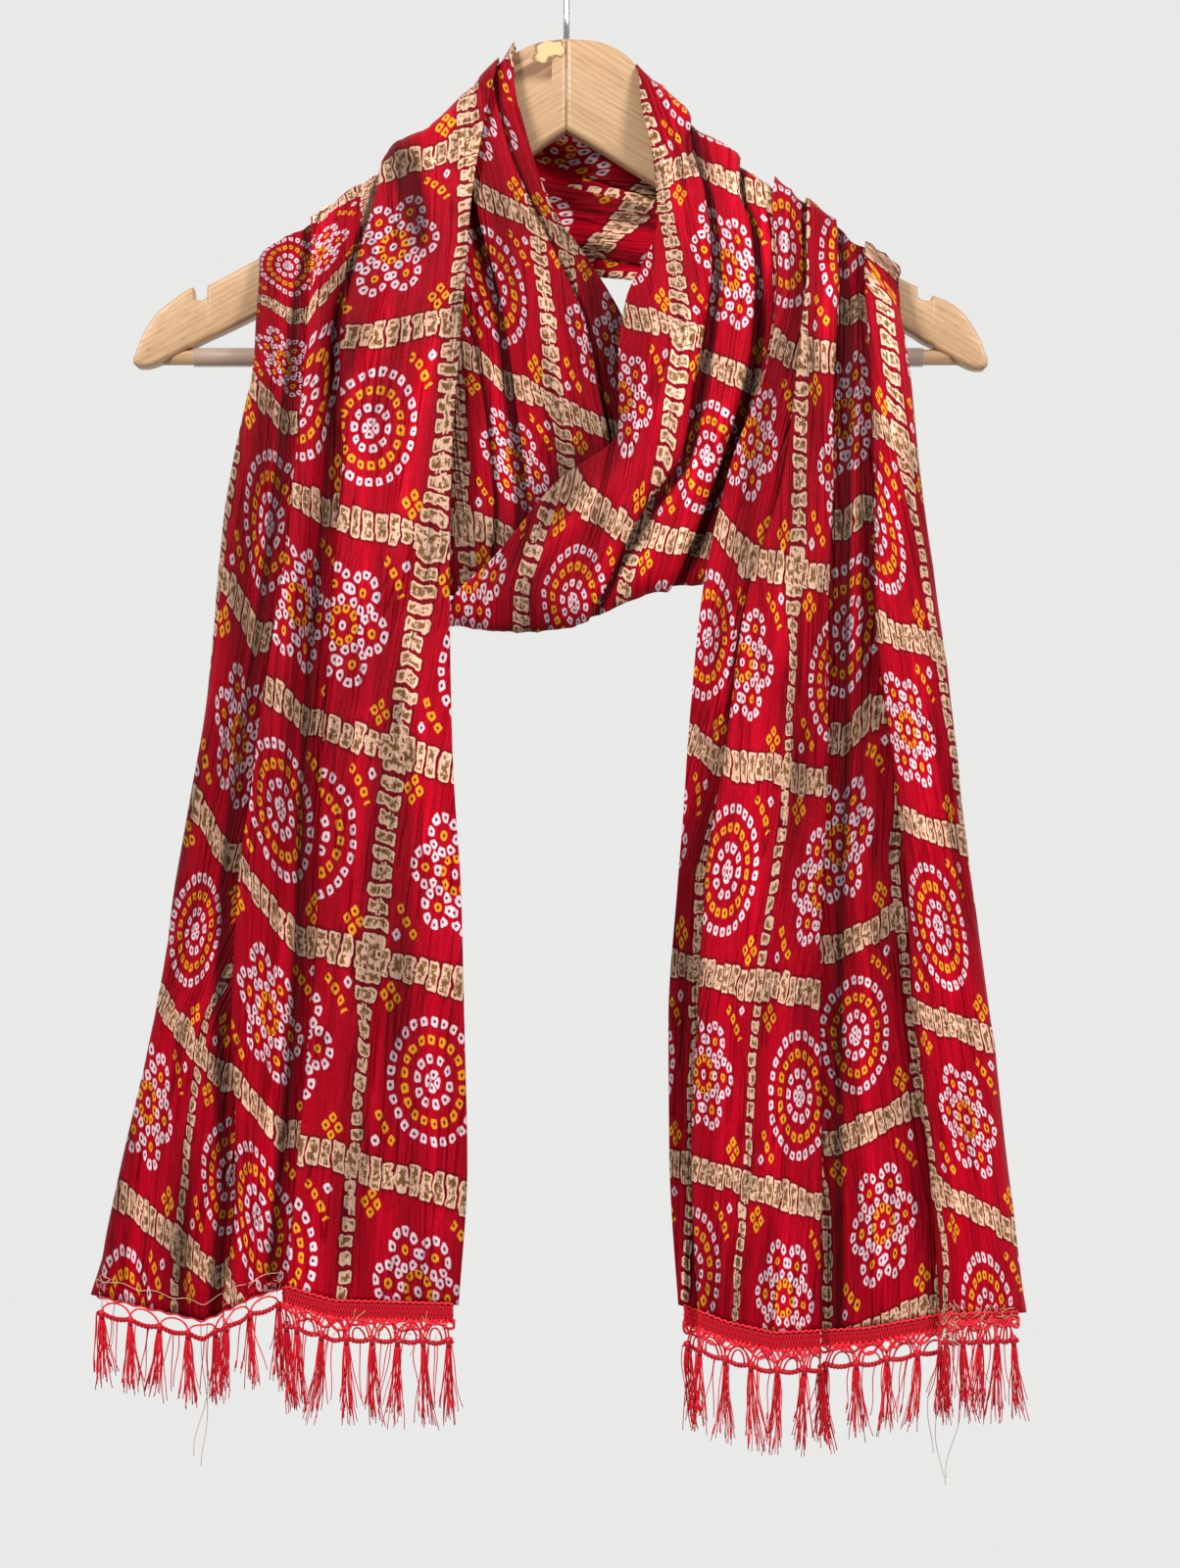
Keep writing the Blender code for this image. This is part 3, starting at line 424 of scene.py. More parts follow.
def stations(rows):
    """Distance along a stretch of each of its rows, between the middles of their base lines."""
    middles = [((r[0] + r[2]) * UNIT / 2, (r[1] + r[3]) * UNIT / 2, r[4]) for r in rows]
    return np.concatenate([[0], np.cumsum([math.dist(p, q) for p, q in zip(middles, middles[1:])])])


def cloth_middle(rows, sides, hem=None, belly=0.0):
    """The middle surface of a stretch as a grid of points, sections by samples, with each sample's panel and
    height."""
    along = stations(rows)
    at = [0.0]
    for a, b in zip(along, along[1:]):
        parts = max(1, round((b - a) / STEP))
        at += [a + (b - a) * (k + 1) / parts for k in range(parts)]
    at = np.array(at)
    grid, heights = [], []
    for station, row in zip(at, eased(along, rows, at)):
        (ax, az), (bx, bz) = mm(row[0], row[1]), mm(row[2], row[3])
        width = math.hypot(bx - ax, bz - az)
        way = np.array([(bx - ax) / width, (bz - az) / width])
        up = np.array([-way[1], way[0]]) * (1 if way[0] >= 0 else -1)
        shares = (row[FRONT_COLUMNS::2] - row[0]) / (row[2] - row[0])
        if abs(bx - ax) < STEEP * width:
            shares = np.arange(1, len(sides) + 1) / (len(sides) + 1)
        folds = list(zip(shares * width, row[FRONT_COLUMNS + 1 :: 2]))
        back = np.clip(station / BACK_WIDENS, BACK_START, 1) if hem else 0
        path, counts, owner = section(width, folds, sides, back)
        path = rounded(path, counts)
        turn, flat, sag = math.radians(row[5]), row[6], row[7]
        share = np.clip(path[:, 0] / width, 0, 1)
        height = path[:, 1] * flat
        hang = sag * 4 * share * (1 - share)
        x = ax + way[0] * path[:, 0] + up[0] * (height * math.sin(turn) - hang)
        z = az + way[1] * path[:, 0] + up[1] * (height * math.sin(turn) - hang)
        y = row[4] - height * math.cos(turn) + bend(x)
        if hem:
            low = np.clip(1 - (along[-1] - station) / HEM_RISE, 0, 1) ** 2
            z = z - low * np.interp(share, *zip(*hem))
        near_end = np.clip(1 - (along[-1] - station) / BELLY_RISE, 0, 1)
        spread = np.clip((x / UNIT + MIDDLE - BELLY_FROM) / (BELLY_TO - BELLY_FROM), 0, 1)
        z = z - belly * smooth(near_end) * np.sin(math.pi * spread)
        grid.append(np.stack([x, y, z], 1))
        heights.append(path[:, 1])
    return np.array(grid), owner, np.array(heights)


def normals(grid):
    """Unit normals of a grid of points, towards its front."""
    along, across = np.gradient(grid, axis=0), np.gradient(grid, axis=1)
    found = np.cross(across, along)
    return found / np.maximum(np.linalg.norm(found, axis=2, keepdims=True), 1e-9)


def lengths(grid, axis):
    """Distance from the first point of each line of a grid, along an axis."""
    steps = np.linalg.norm(np.diff(grid, axis=axis), axis=2)
    zero = np.zeros_like(np.take(steps, [0], axis=axis))
    return np.concatenate([zero, np.cumsum(steps, axis=axis)], axis=axis)


def noise(a, b, seed):
    """Smooth noise from -1 to 1 at places a, b, with one bump to a unit."""
    table = np.random.default_rng(seed).uniform(-1, 1, (NOISE_CELLS, NOISE_CELLS))
    i, j = np.floor(a).astype(int), np.floor(b).astype(int)
    u, v = smooth(a - i), smooth(b - j)
    i, i_next, j, j_next = (number % NOISE_CELLS for number in (i, i + 1, j, j + 1))
    near = table[i, j] * (1 - u) + table[i_next, j] * u
    far = table[i, j_next] * (1 - u) + table[i_next, j_next] * u
    return near * (1 - v) + far * v


def view_place(grid):
    """A grid's x and y in the front view."""
    return grid[..., 0] / UNIT + MIDDLE, WOOD_TOP + (WOOD_TOP_Z - grid[..., 2]) / UNIT


def fill_tucks(values, owner, run, rate):
    """Carries values into each tuck from both of its sides, changing by so much a mm, up to its middle."""
    columns = np.flatnonzero(owner == TUCKED)
    for span in np.split(columns, np.flatnonzero(np.diff(columns) > 1) + 1):
        before, after = [span[0] - 1], [span[-1] + 1]
        gone, left = run[:, span] - run[:, before], run[:, after] - run[:, span]
        values[:, span] = np.where(gone < left, values[:, before] + rate * gone, values[:, after] - rate * left)


def print_place(grid, owner, lines, bands, front_from):
    """Each sample's place in the print's cells, from the bands that show on each panel."""
    x, y = view_place(grid)
    run = lengths(grid, 1)
    down = lengths(grid, 0)
    y[:front_from] = y[front_from] - (down[front_from] - down[:front_from]) / UNIT
    u, v = np.zeros_like(x), np.zeros_like(x)
    for panel, (number, cell, line) in enumerate(lines):
        own = np.flatnonzero(owner == panel)
        ys, xs = zip(*line)
        u[:, own] = number + (x[:, own] - np.interp(y[:, own], ys, xs)) / cell
        left, right = x[:, own[:1]], x[:, own[-1:]]
        share = (x[:, own] - left) / np.where(np.abs(right - left) < 1, 1, right - left)
        share = np.clip(share, -OVERRUN, 1 + OVERRUN)
        heights = [row[1 + 2 * panel] + share * (row[2 + 2 * panel] - row[1 + 2 * panel]) for row in bands]
        found = bands[0][0] + (y[:, own] - heights[0]) / CELL_Y
        for (low, *_), one, two in zip(bands, heights, heights[1:]):
            found = np.where(y[:, own] > one, low + (y[:, own] - one) / (two - one), found)
        past = y[:, own] > heights[-1]
        v[:, own] = np.where(past, bands[-1][0] + (y[:, own] - heights[-1]) / CELL_Y, found)
    front = int(np.argmax(owner >= 0))
    rate = np.sign(u[:, -1:] - u[:, front : front + 1]) / (PLAIN_CELL * UNIT)
    fill_tucks(u, owner, run, rate)
    fill_tucks(v, owner, run, 0.0)
    u[:, :front] = u[:, front : front + 1] + rate * (run[:, :front] - run[:, front : front + 1])
    v[:, :front] = v[:, front : front + 1]
    return u, v


def creased(grid, creases, owner):
    """Height of the listed creases at each sample of the front panels."""
    x, y = view_place(grid)
    height = np.zeros_like(x)
    for x1, y1, x2, y2, wide, high in creases:
        ahead = np.array([x2 - x1, y2 - y1], float)
        span = np.hypot(*ahead)
        share = ((x - x1) * ahead[0] + (y - y1) * ahead[1]) / span**2
        away = ((x - x1) * ahead[1] - (y - y1) * ahead[0]) / span * UNIT
        ends = np.clip(np.minimum(share + CREASE_RUN, 1 + CREASE_RUN - share) / CREASE_EASE, 0, 1)
        height += high * ends * np.exp(-((away / wide) ** 2))
    return np.where(owner >= 0, height, 0)


def crinkled(places, crinkle, seed):
    """Height of the crinkle at each sample, from its place in the print."""
    across, along = places[0] * PLAIN_CELL * UNIT, places[1] * CELL_Y * UNIT
    height = np.zeros_like(across)
    for k, (wide, long, high) in enumerate(crinkle):
        drift = DRIFT * noise(along / DRIFT_ALONG, across / DRIFT_ACROSS, seed + 10 + k)
        bumps = noise(across / wide + drift, along / long, seed + k)
        height += high * (bumps if k == 0 else RIDGE - RIDGE_DIP * np.sqrt(np.abs(bumps) + RIDGE_SOFT))
    return height


def clear_of_tucks(grid, owner, reach=8.0, least=0.1):
    """Share of the relief that each sample keeps, less where the cloth folds over itself."""
    run = lengths(grid, 1)
    tucked = np.flatnonzero(owner == TUCKED)
    away = np.abs(run[:, :, None] - run[:, None, tucked[::3]]).min(axis=2)
    return np.clip(away / reach, least, 1)


def overlap_shade(node, x, y):
    """How much darker each sample is for the stretches that lie over its own."""
    found = np.zeros_like(x)
    for shaded, reach, edge in OVERLAPS:
        if shaded == node:
            ys, xs = zip(*edge)
            near = np.clip(1 - np.abs(x - np.interp(y, ys, xs)) / reach, 0, 1)
            starts, ends = (y - ys[0]) / OVERLAP_START, (ys[-1] + OVERLAP_END - y) / OVERLAP_END
            faded = np.clip(starts, 0, 1) * np.clip(ends, 0, 1)
            found = np.maximum(found, OVERLAP_SHADE * near**1.5 * faded)
    return found


def object_of(name, points, faces):
    """A smooth mesh object from points in mm."""
    mesh = bpy.data.meshes.new(name)
    mesh.from_pydata((np.asarray(points, float) / 1000).tolist(), [], faces)
    mesh.validate()
    bm = bmesh.new()
    bm.from_mesh(mesh)
    bmesh.ops.recalc_face_normals(bm, faces=bm.faces)
    bm.to_mesh(mesh)
    bm.free()
    mesh.shade_smooth()
    made = bpy.data.objects.new(name, mesh)
    bpy.context.scene.collection.objects.link(made)
    return made


def grid_faces(rows, columns, start=0):
    """Faces of a grid of points."""
    k = start + np.arange(rows * columns).reshape(rows, columns)
    corners = (k[:-1, :-1], k[:-1, 1:], k[1:, 1:], k[1:, :-1])
    return np.stack(corners, -1).reshape(-1, 4).tolist()


def give_map(made, name, first, second):
    """A UV map from one pair of values for each vertex."""
    layer = made.data.uv_layers.new(name=name)
    vertex = np.zeros(len(made.data.loops), int)
    made.data.loops.foreach_get("vertex_index", vertex)
    pairs = np.stack([np.ravel(first), np.ravel(second)], 1)[vertex]
    layer.data.foreach_set("uv", pairs.ravel())


def cloth_piece(name, grid, places, painted_light):
    """A thin sheet of cloth on a grid of middle points, with each one's print place and its painted light and
    shade.
    """
    made = object_of(name, grid.reshape(-1, 3), grid_faces(*grid.shape[:2]))
    give_map(made, "print", *places)
    layer = made.data.attributes.new("painted_light", "FLOAT", "POINT")
    layer.data.foreach_set("value", np.ravel(painted_light).astype(np.float32))
    thick = made.modifiers.new("thin wall", "SOLIDIFY")
    thick.thickness, thick.offset = THIN / 1000, 0
    return made


def sheet_points(grid, wall):
    """Points and faces of a closed sheet of that wall round a grid of middle points."""
    rows, columns = grid.shape[:2]
    half = normals(grid) * wall / 2
    points = np.concatenate([(grid + half).reshape(-1, 3), (grid - half).reshape(-1, 3)])
    under = rows * columns
    faces = grid_faces(rows, columns)
    faces += [list(reversed(face)) for face in grid_faces(rows, columns, under)]
    rim = [(0, c) for c in range(columns)] + [(r, columns - 1) for r in range(1, rows)]
    rim += [(rows - 1, c) for c in range(columns - 2, -1, -1)]
    rim += [(r, 0) for r in range(rows - 2, 0, -1)]
    rim = [r * columns + c for r, c in rim]
    faces += [[b, a, under + a, under + b] for a, b in zip(rim, rim[1:] + rim[:1])]
    return points, faces


def caps(rings, sides):
    """The two end faces of a body through so many rings of points."""
    return [list(range(sides)), list(reversed(range((rings - 1) * sides, rings * sides)))]


def ring_faces(rings, sides):
    """The faces from each ring of points to the next."""
    faces = []
    for r in range(rings - 1):
        for k in range(sides):
            a, b = r * sides + k, r * sides + (k + 1) % sides
            faces.append([b, a, a + sides, b + sides])
    return faces


class Threads:
    """Many small closed forms in one mesh, each with its own tone."""

    def __init__(self):
        self.points, self.faces, self.tones = [], [], []

    def add(self, points, faces, tone):
        start = len(self.points)
        self.points += [tuple(p) for p in points]
        self.faces += [[start + k for k in face] for face in faces]
        self.tones += [tone] * len(points)

    def tube(self, path, radius, tone, sides=4, end=None):
        """A round thread along a path, with its own radius at the end if it tapers."""
        path = np.asarray(path, float)
        way = np.gradient(path, axis=0)
        way /= np.linalg.norm(way, axis=1, keepdims=True)
        aside = np.cross(way, (0.13, 1.0, 0.21))
        aside /= np.linalg.norm(aside, axis=1, keepdims=True)
        other = np.cross(way, aside)
        radii = np.linspace(radius, radius if end is None else end, len(path))[:, None, None]
        turns = np.arange(sides) * 2 * math.pi / sides
        rings = np.cos(turns)[None, :, None] * aside[:, None] + np.sin(turns)[None, :, None] * other[:, None]
        points = (path[:, None] + rings * radii).reshape(-1, 3)
        self.add(points, caps(len(path), sides) + ring_faces(len(path), sides), tone)

    def made(self, name):
        """The mesh object, with the tones in its colour attribute."""
        made = object_of(name, self.points, self.faces)
        tones = made.data.color_attributes.new("tone", "FLOAT_COLOR", "POINT")
        colours = np.repeat(np.array(self.tones, float)[:, None], 4, axis=1)
        colours[:, 3] = 1
        tones.data.foreach_set("color", colours.ravel())
        return made


def loft(rings, capped=True):
    """Points and faces of a body through rings of the same number of points."""
    shape = len(rings), len(rings[0])
    return np.concatenate(rings), (caps(*shape) if capped else []) + ring_faces(*shape)


def wing(name, rows, side):
    """Half of the hanger's wood, from the seam to its tip, with rounded edges."""
    rows = sorted(rows, key=lambda row: side * row[0])
    xs = [mm(row[0], 0)[0] for row in rows]
    seam = SEAM_X + side * SEAM_GAP / 2
    knots = np.array([seam] + xs) * side
    tops = np.array([WOOD_TOP_Z] + [mm(0, row[1])[1] for row in rows])
    lows = np.array([mm(0, SEAM_FOOT)[1]] + [mm(0, row[2])[1] for row in rows])
    at = np.unique(np.concatenate([knots, np.arange(knots[0], knots[-1], WING_STEP)]))
    outline = eased(knots, np.stack([tops, lows], 1), at)
    rings = []
    for distance, (top, low) in zip(at, outline):
        cut = min(WOOD_ROUND, (top - low) / 3)
        half = WOOD_THICK / 2
        x = distance * side
        ring = []
        for dy, dz, start in ((1, 1, 0), (-1, 1, 90), (-1, -1, 180), (1, -1, 270)):
            for turn in np.radians(np.linspace(start, start + 90, CORNER_POINTS)):
                level = top - cut if dz > 0 else low + cut
                y = dy * (half - cut) + cut * math.cos(turn)
                ring.append((x, float(bend(x)) + y, level + cut * math.sin(turn)))
        rings.append(np.array(ring))
    return object_of(name, *loft(rings))


def rod(name, path, radius, sides=16):
    """A round rod along a path of points in mm."""
    bundle = Threads()
    bundle.tube(path, radius, 0.5, sides)
    return object_of(name, bundle.points, bundle.faces)


def sleeve(name):
    """The clear sleeve round the bar, with fine ribs along it."""
    turns = np.arange(SLEEVE_RIBS * 2) * math.pi / SLEEVE_RIBS
    outside = SLEEVE_OUTSIDE - RIB_DEPTH * (np.arange(len(turns)) % 2)
    across = np.linspace(SLEEVE_LEFT, SLEEVE_RIGHT, 12)
    rings = []
    for x, radius in [(x, outside) for x in across] + [(x, SLEEVE_INSIDE) for x in across[::-1]]:
        y, z = BAR_Y + radius * np.cos(turns), BAR_Z + radius * np.sin(turns)
        rings.append(np.stack([x + 0 * turns, y, z], 1))
    return object_of(name, *loft(rings + rings[:1], capped=False))


def hem_line(grid, start, end, last):
    """The hem's front layer from one share of the tail's width to another, as points, outer end first."""
    corners = mm(last[0], last[1]), mm(last[2], last[3])
    ends = as_seen(np.array([(x, last[4] + bend(x), z) for x, z in corners]))
    hem = grid[-1]
    share = (hem[:, 0] - ends[0, 0]) / (ends[1, 0] - ends[0, 0])
    found = []
    for wanted in np.linspace(start, end, HEM_POINTS):
        crossings = []
        for k in range(len(hem) - 1):
            low, high = sorted((share[k], share[k + 1]))
            if low <= wanted <= high and high > low:
                part = (wanted - share[k]) / (share[k + 1] - share[k])
                crossings.append(hem[k] + part * (hem[k + 1] - hem[k]))
        if crossings:
            found.append(min(crossings, key=lambda spot: spot[1]))
    return np.array(found)


def trim(name, line, tassels, header, loop, chain, strand):
    """A hem trim: crochet tape, satin loops, a chain of two cords and the tassels' threads."""
    run = np.concatenate([[0], np.cumsum(np.linalg.norm(np.diff(line, axis=0), axis=1))])
    bundle = Threads()

    def place(distance, down, out):
        distance, down = np.asarray(distance, float), np.asarray(down, float)
        spot = np.stack([np.interp(distance, run, line[:, k]) for k in range(3)], -1)
        return spot + np.stack([0 * distance, out - 0.3 + 0 * distance, -down + 0 * distance], -1)

    across = np.arange(0, run[-1], 0.4)
    low = TRIM_DROP + header
    if header > BARE_HEM:
        coarse = across[::2]
        levels = np.linspace(TRIM_DROP, low, 7)
        ribs = [-0.45 - 0.2 * np.abs(np.sin(coarse / 1.3 + 5 * level)) for level in levels]
        grid = np.array([place(coarse, level, out) for level, out in zip(levels, ribs)])
        bundle.add(*sheet_points(grid, 0.4), TAPE_TONE)
        for start in (0, 1 / 3, 2 / 3):
            wave = 2 * np.abs((across / LATTICE + start) % 1 - 0.5)
            crossing = place(across, TRIM_DROP + 0.6 + (header - 1.2) * wave, -1.0)
            bundle.tube(crossing, LATTICE_CORD, LATTICE_TONE, 4)
        for edge in (TRIM_DROP, low):
            bundle.tube(place(across, edge + 0.35 * np.sin(across * 1.9), -1.2), EDGE_CORD, SATIN_TONE, 6)
    else:
        bundle.tube(place(across, 0.4 * np.sin(across * 0.7), -0.6), ARCH_CORD, CORD_TONE, 5)
        stitches = place(across, 0.8 * np.sin(across * 0.35) - STITCHES_UP, -0.9)
        bundle.tube(stitches, FINE_THREAD, STRAY_TONE, 3)

    pitch = (run[-1] - BUNCH - 1.0) / (tassels - 1)
    feet = 0.5 + BUNCH / 2 + pitch * np.arange(tassels)
    chain_at = low + loop - 0.5
    turn = np.linspace(0, math.pi, 13)
    sine, cosine = np.sin(turn), np.cos(turn)
    for one, two in zip(feet, feet[1:]):
        middle, half = (one + two) / 2, (two - one) / 2
        for inside, under, tone in ARCHES if header > BARE_HEM else ARCHES[:1]:
            lift = (loop - under) * chance.uniform(0.85, 1.08)
            slip = chance.uniform(-1.2, 1.2)
            arch = place(middle + slip * sine - (half - inside) * cosine, chain_at - lift * sine, -0.8)
            bundle.tube(arch, ARCH_CORD, tone, 5)
    ribbons = 3 * tassels if header > BARE_HEM else 0
    for number in range(ribbons):
        middle, reach = run[-1] * (number + 0.5) / ribbons, 3.0 + 2.0 * (number % 2)
        deep = chance.uniform(2.5, 7.0)
        ribbon = place(middle - reach * cosine, low - 1.5 + deep * sine, -1.0 - 0.5 * sine)
        bundle.tube(ribbon, RIBBON, (SATIN_TONE, TASSEL_TONE, CORD_TONE)[number % 3], 5)
    sag = 1.6 * np.abs(np.sin((across - feet[0]) * math.pi / pitch))
    for side in (0, math.pi):
        twist = across * math.tau / CHAIN_LINK + side
        cord = place(across, chain_at + sag + 0.85 * np.sin(twist), -0.6 + 0.5 * np.cos(twist))
        bundle.tube(cord, CHAIN_CORD, CORD_TONE, 5)

    down = np.linspace(0, 1, 9)
    for number, foot in enumerate(feet):
        lean = 3.0 * math.sin(2.1 * number + 0.7 * len(name))
        knot = place([foot, foot], [chain_at - chain / 2, chain_at + chain], -0.7)
        bundle.tube(knot, TASSEL_KNOT, CORD_TONE, 7)
        for thread in range(TASSEL_THREADS + LOOSE_THREADS):
            share = (thread % TASSEL_THREADS) / (TASSEL_THREADS - 1) - 0.5
            fall = strand * chance.uniform(0.74, 1.04)
            start = foot
            if thread >= TASSEL_THREADS:
                start = np.clip(foot + chance.uniform(-0.5, 0.5) * pitch, 0.5, run[-1] - 0.5)
                fall *= 0.8
            aside = share * BUNCH * (0.4 + 1.3 * down) + lean * down**1.6
            aside += chance.uniform(-3.4, 3.4) * down**2 + chance.uniform(-0.8, 0.8) * np.sin(down * 6)
            out = -0.7 + chance.uniform(-1.4, 1.4) * down
            path = place(np.full(len(down), start), chain_at + 1.0 + fall * down, out)
            path[:, 0] += aside
            tone = TASSEL_TONE + chance.uniform(-0.28, 0.28)
            bundle.tube(path, THREAD, tone, 3, THREAD * 0.7)
            if thread % 6 == 0:
                bundle.tube(path[-2:] * 0.35 + path[-3:-1] * 0.65, 0.55, tone, 5)
    for trim_name, first, last, top, bottom, count in FRAYS:
        for _ in range(count if trim_name == name else 0):
            spot = chance.uniform(first, last) * run[-1]
            reach, turned = chance.uniform(2.5, 7.0), chance.uniform(0, 2 * math.pi)
            curl = chance.uniform(-2.2, 2.2)
            path = place(
                spot + reach * math.cos(turned) * down + curl * np.sin(down * 4),
                chance.uniform(top, bottom) + reach * math.sin(turned) * down + curl * down**2,
                -1.2 - chance.uniform(0, 1.2),
            )
            bundle.tube(path, FRAY, chance.choice((STRAY_TONE, TASSEL_TONE)), 3)
    return bundle


def stray(x, y, long, drift, wave):
    """A loose thread's path down from its place in the view."""
    down = np.linspace(0, 1, STRAY_POINTS)
    start, top = mm(x, y)
    across = start + drift * down + wave * np.sin(down * 7 + x) * down
    return as_seen(np.stack([across, STRAY_Y - STRAY_FORWARD * down, top - long * down], 1))


# Camera
camera = bpy.data.objects.new("camera", bpy.data.cameras.new("camera"))
bpy.context.scene.collection.objects.link(camera)
camera.location = (EYE_X / 1000, -EYE_AWAY / 1000, EYE_Z / 1000)
camera.rotation_euler = (math.pi / 2, 0, 0)
camera.data.sensor_width = SENSOR
camera.data.lens = SENSOR * EYE_AWAY / VIEW_HEIGHT
camera.data.clip_end = 20
bpy.context.scene.camera = camera
bpy.context.scene.view_settings.view_transform = "Standard"

# Hanger pieces
wood = [wing("wood_left", LEFT_WING, -1), wing("wood_right", RIGHT_WING, 1)]
turns = np.radians(np.linspace(-55, 205, 60))
hook_arc = [(HOOK_RADIUS * math.cos(t), 0, HOOK_RADIUS * math.sin(t) - HOOK_RADIUS + ROD_RADIUS) for t in turns]
shank = [(SEAM_X, 0, WOOD_TOP_Z - SOCKET_DEPTH + SEAM_GAP), (SEAM_X, 0, -70.0), (SEAM_X, 0, -60.0)]
shank += [(SEAM_X + 0.3, 0, -52.5), (5.2, 0, -44.4)]
hook = rod("hook_rod", shank + hook_arc, ROD_RADIUS)
dowel_path = [(x, BAR_Y, BAR_Z) for x in np.linspace(-DOWEL_HALF, DOWEL_HALF, 12)]
dowel = rod("dowel_rod", dowel_path, DOWEL_RADIUS, 32)
clear = sleeve("clear_sleeve")

# Cloth pieces: node, rows, folds, hem, creases, crinkle, print lines and bands
STRETCHES = (
    ("left_tail", LEFT_TAIL, OUTSIDE_FOLDS, LEFT_HEM, LEFT_CREASES, CRINKLE, LEFT_TAIL_LINES, LEFT_TAIL_BANDS),
    ("right_tail", RIGHT_TAIL, INSIDE_FOLDS, RIGHT_HEM, RIGHT_CREASES, CRINKLE,
     RIGHT_TAIL_LINES, RIGHT_TAIL_BANDS),
    ("left_band", LEFT_BAND, INSIDE_FOLDS, None, LEFT_BAND_CREASES, CRINKLE, LEFT_BAND_LINES, LEFT_BAND_BANDS),
    ("right_band", RIGHT_BAND, OUTSIDE_FOLDS, None, RIGHT_BAND_CREASES, CRINKLE,
     RIGHT_BAND_LINES, RIGHT_BAND_BANDS),
    ("left_wrap", LEFT_WRAP, OUTSIDE_FOLDS, None, (), WRAP_CRINKLE, None, None),
    ("right_wrap", RIGHT_WRAP, INSIDE_FOLDS, None, (), WRAP_CRINKLE, None, None),
)
CREASE_SHARE = 1.7
# Painted light and shade of the cloth's colour: lighter on upper layers, crinkle tops and the wraps, darker in
# tucks and under the edges of stretches that lie over it
RELIEF_RANGE = 5.5  # mm of crinkle from the deepest to the highest shade
TUCK_SHADE, SHADE_REACH = 1.2, 5.5
PANEL_SHADE, UPPER_LAYER_LIGHT, WRAP_LIGHT, MOST_PAINTED_LIGHT = 0.59, 0.13, 0.8, 1.4
# Edges that lie over another stretch: the stretch that they shade, the shade's reach in x, then y and x down
# the edge
OVERLAPS = (
    ("left_band", 64, ((224, 671), (308, 638), (362, 631), (436, 631), (494, 564), (562, 502), (606, 462))),
    ("left_band", 36, ((330, 471), (465, 461), (600, 459), (640, 459))),
    ("right_band", 34, ((262, 792), (335, 790), (480, 744), (600, 717))),
)
OVERLAP_SHADE, OVERLAP_START, OVERLAP_END = 0.5, 60, 20
FRONT_ROW = 4  # the tables' row from which a stretch hangs down the front
WRAP_CELLS = {"left_wrap": (-1.0, -1.0), "right_wrap": (1.0, -1.0)}
RELIEF_SHARE = {
    "left_tail": 1.0, "right_tail": 1.0, "left_band": 0.45,
    "right_band": 0.8, "left_wrap": 0.8, "right_wrap": 0.8,
}
pieces, hems = {}, {}
for number, (node, rows, sides, hem, creases, crinkle, lines, bands) in enumerate(STRETCHES):
    grid, owner, heights = cloth_middle(rows, sides, hem, BELLY if node in ("left_band", "right_band") else 0.0)
    if lines:
        along = stations(rows)
        front_from = int(np.searchsorted(lengths(grid, 0).mean(axis=1), along[FRONT_ROW]))
        places = print_place(grid, owner, lines, bands, front_from)
    else:
        u, v = WRAP_CELLS[node]
        places = (u + lengths(grid, 1) / (PLAIN_CELL * UNIT), v + lengths(grid, 0) / (CELL_Y * UNIT))
    relief = CREASE_SHARE * creased(grid, creases, owner) + crinkled(places, crinkle, 20 * number)
    relief = relief * clear_of_tucks(grid, owner)
    grid = grid + normals(grid) * (relief * RELIEF_SHARE[node])[..., None]
    overlapped = overlap_shade(node, *view_place(grid))
    grid = as_seen(grid)
    # Painted light and shade, kept on each point for the cloth's colour: upper layers and crinkle tops lighter,
    # a painted shadow in tucks under an upper layer's edge and under overlapping stretches, and the wraps
    # lighter
    standing = np.clip((heights - LOW) / (2 * LAYER), 0, 1)
    shade = TUCK_SHADE * (1 - clear_of_tucks(grid, owner, SHADE_REACH)) * (1 - standing)
    painted_light = UPPER_LAYER_LIGHT * standing + PANEL_SHADE + relief / RELIEF_RANGE - shade - overlapped
    painted_light = np.clip(painted_light + (WRAP_LIGHT if node in WRAP_CELLS else 0), 0, MOST_PAINTED_LIGHT)
    pieces[node] = cloth_piece(node + "_cloth", grid, places, painted_light)
    hems[node] = grid

trims = {}
for name, tail, start, end, *sizes in TRIMS:
    rows = {"left": LEFT_TAIL, "right": RIGHT_TAIL}[tail]
    bundle = trim(name, hem_line(hems[tail + "_tail"], start, end, rows[-1]), *sizes)
    for owner_name, *shape in STRAYS:
        if owner_name == name:
            bundle.tube(stray(*shape), FINE_THREAD, STRAY_TONE, 3)
    trims[name] = bundle.made(name + "_fringe")


# Materials
def linear(red, green, blue):
    """A colour given as it looks on a screen, 0 to 255."""
    return tuple((c / 255) ** 2.2 for c in (red, green, blue)) + (1.0,)


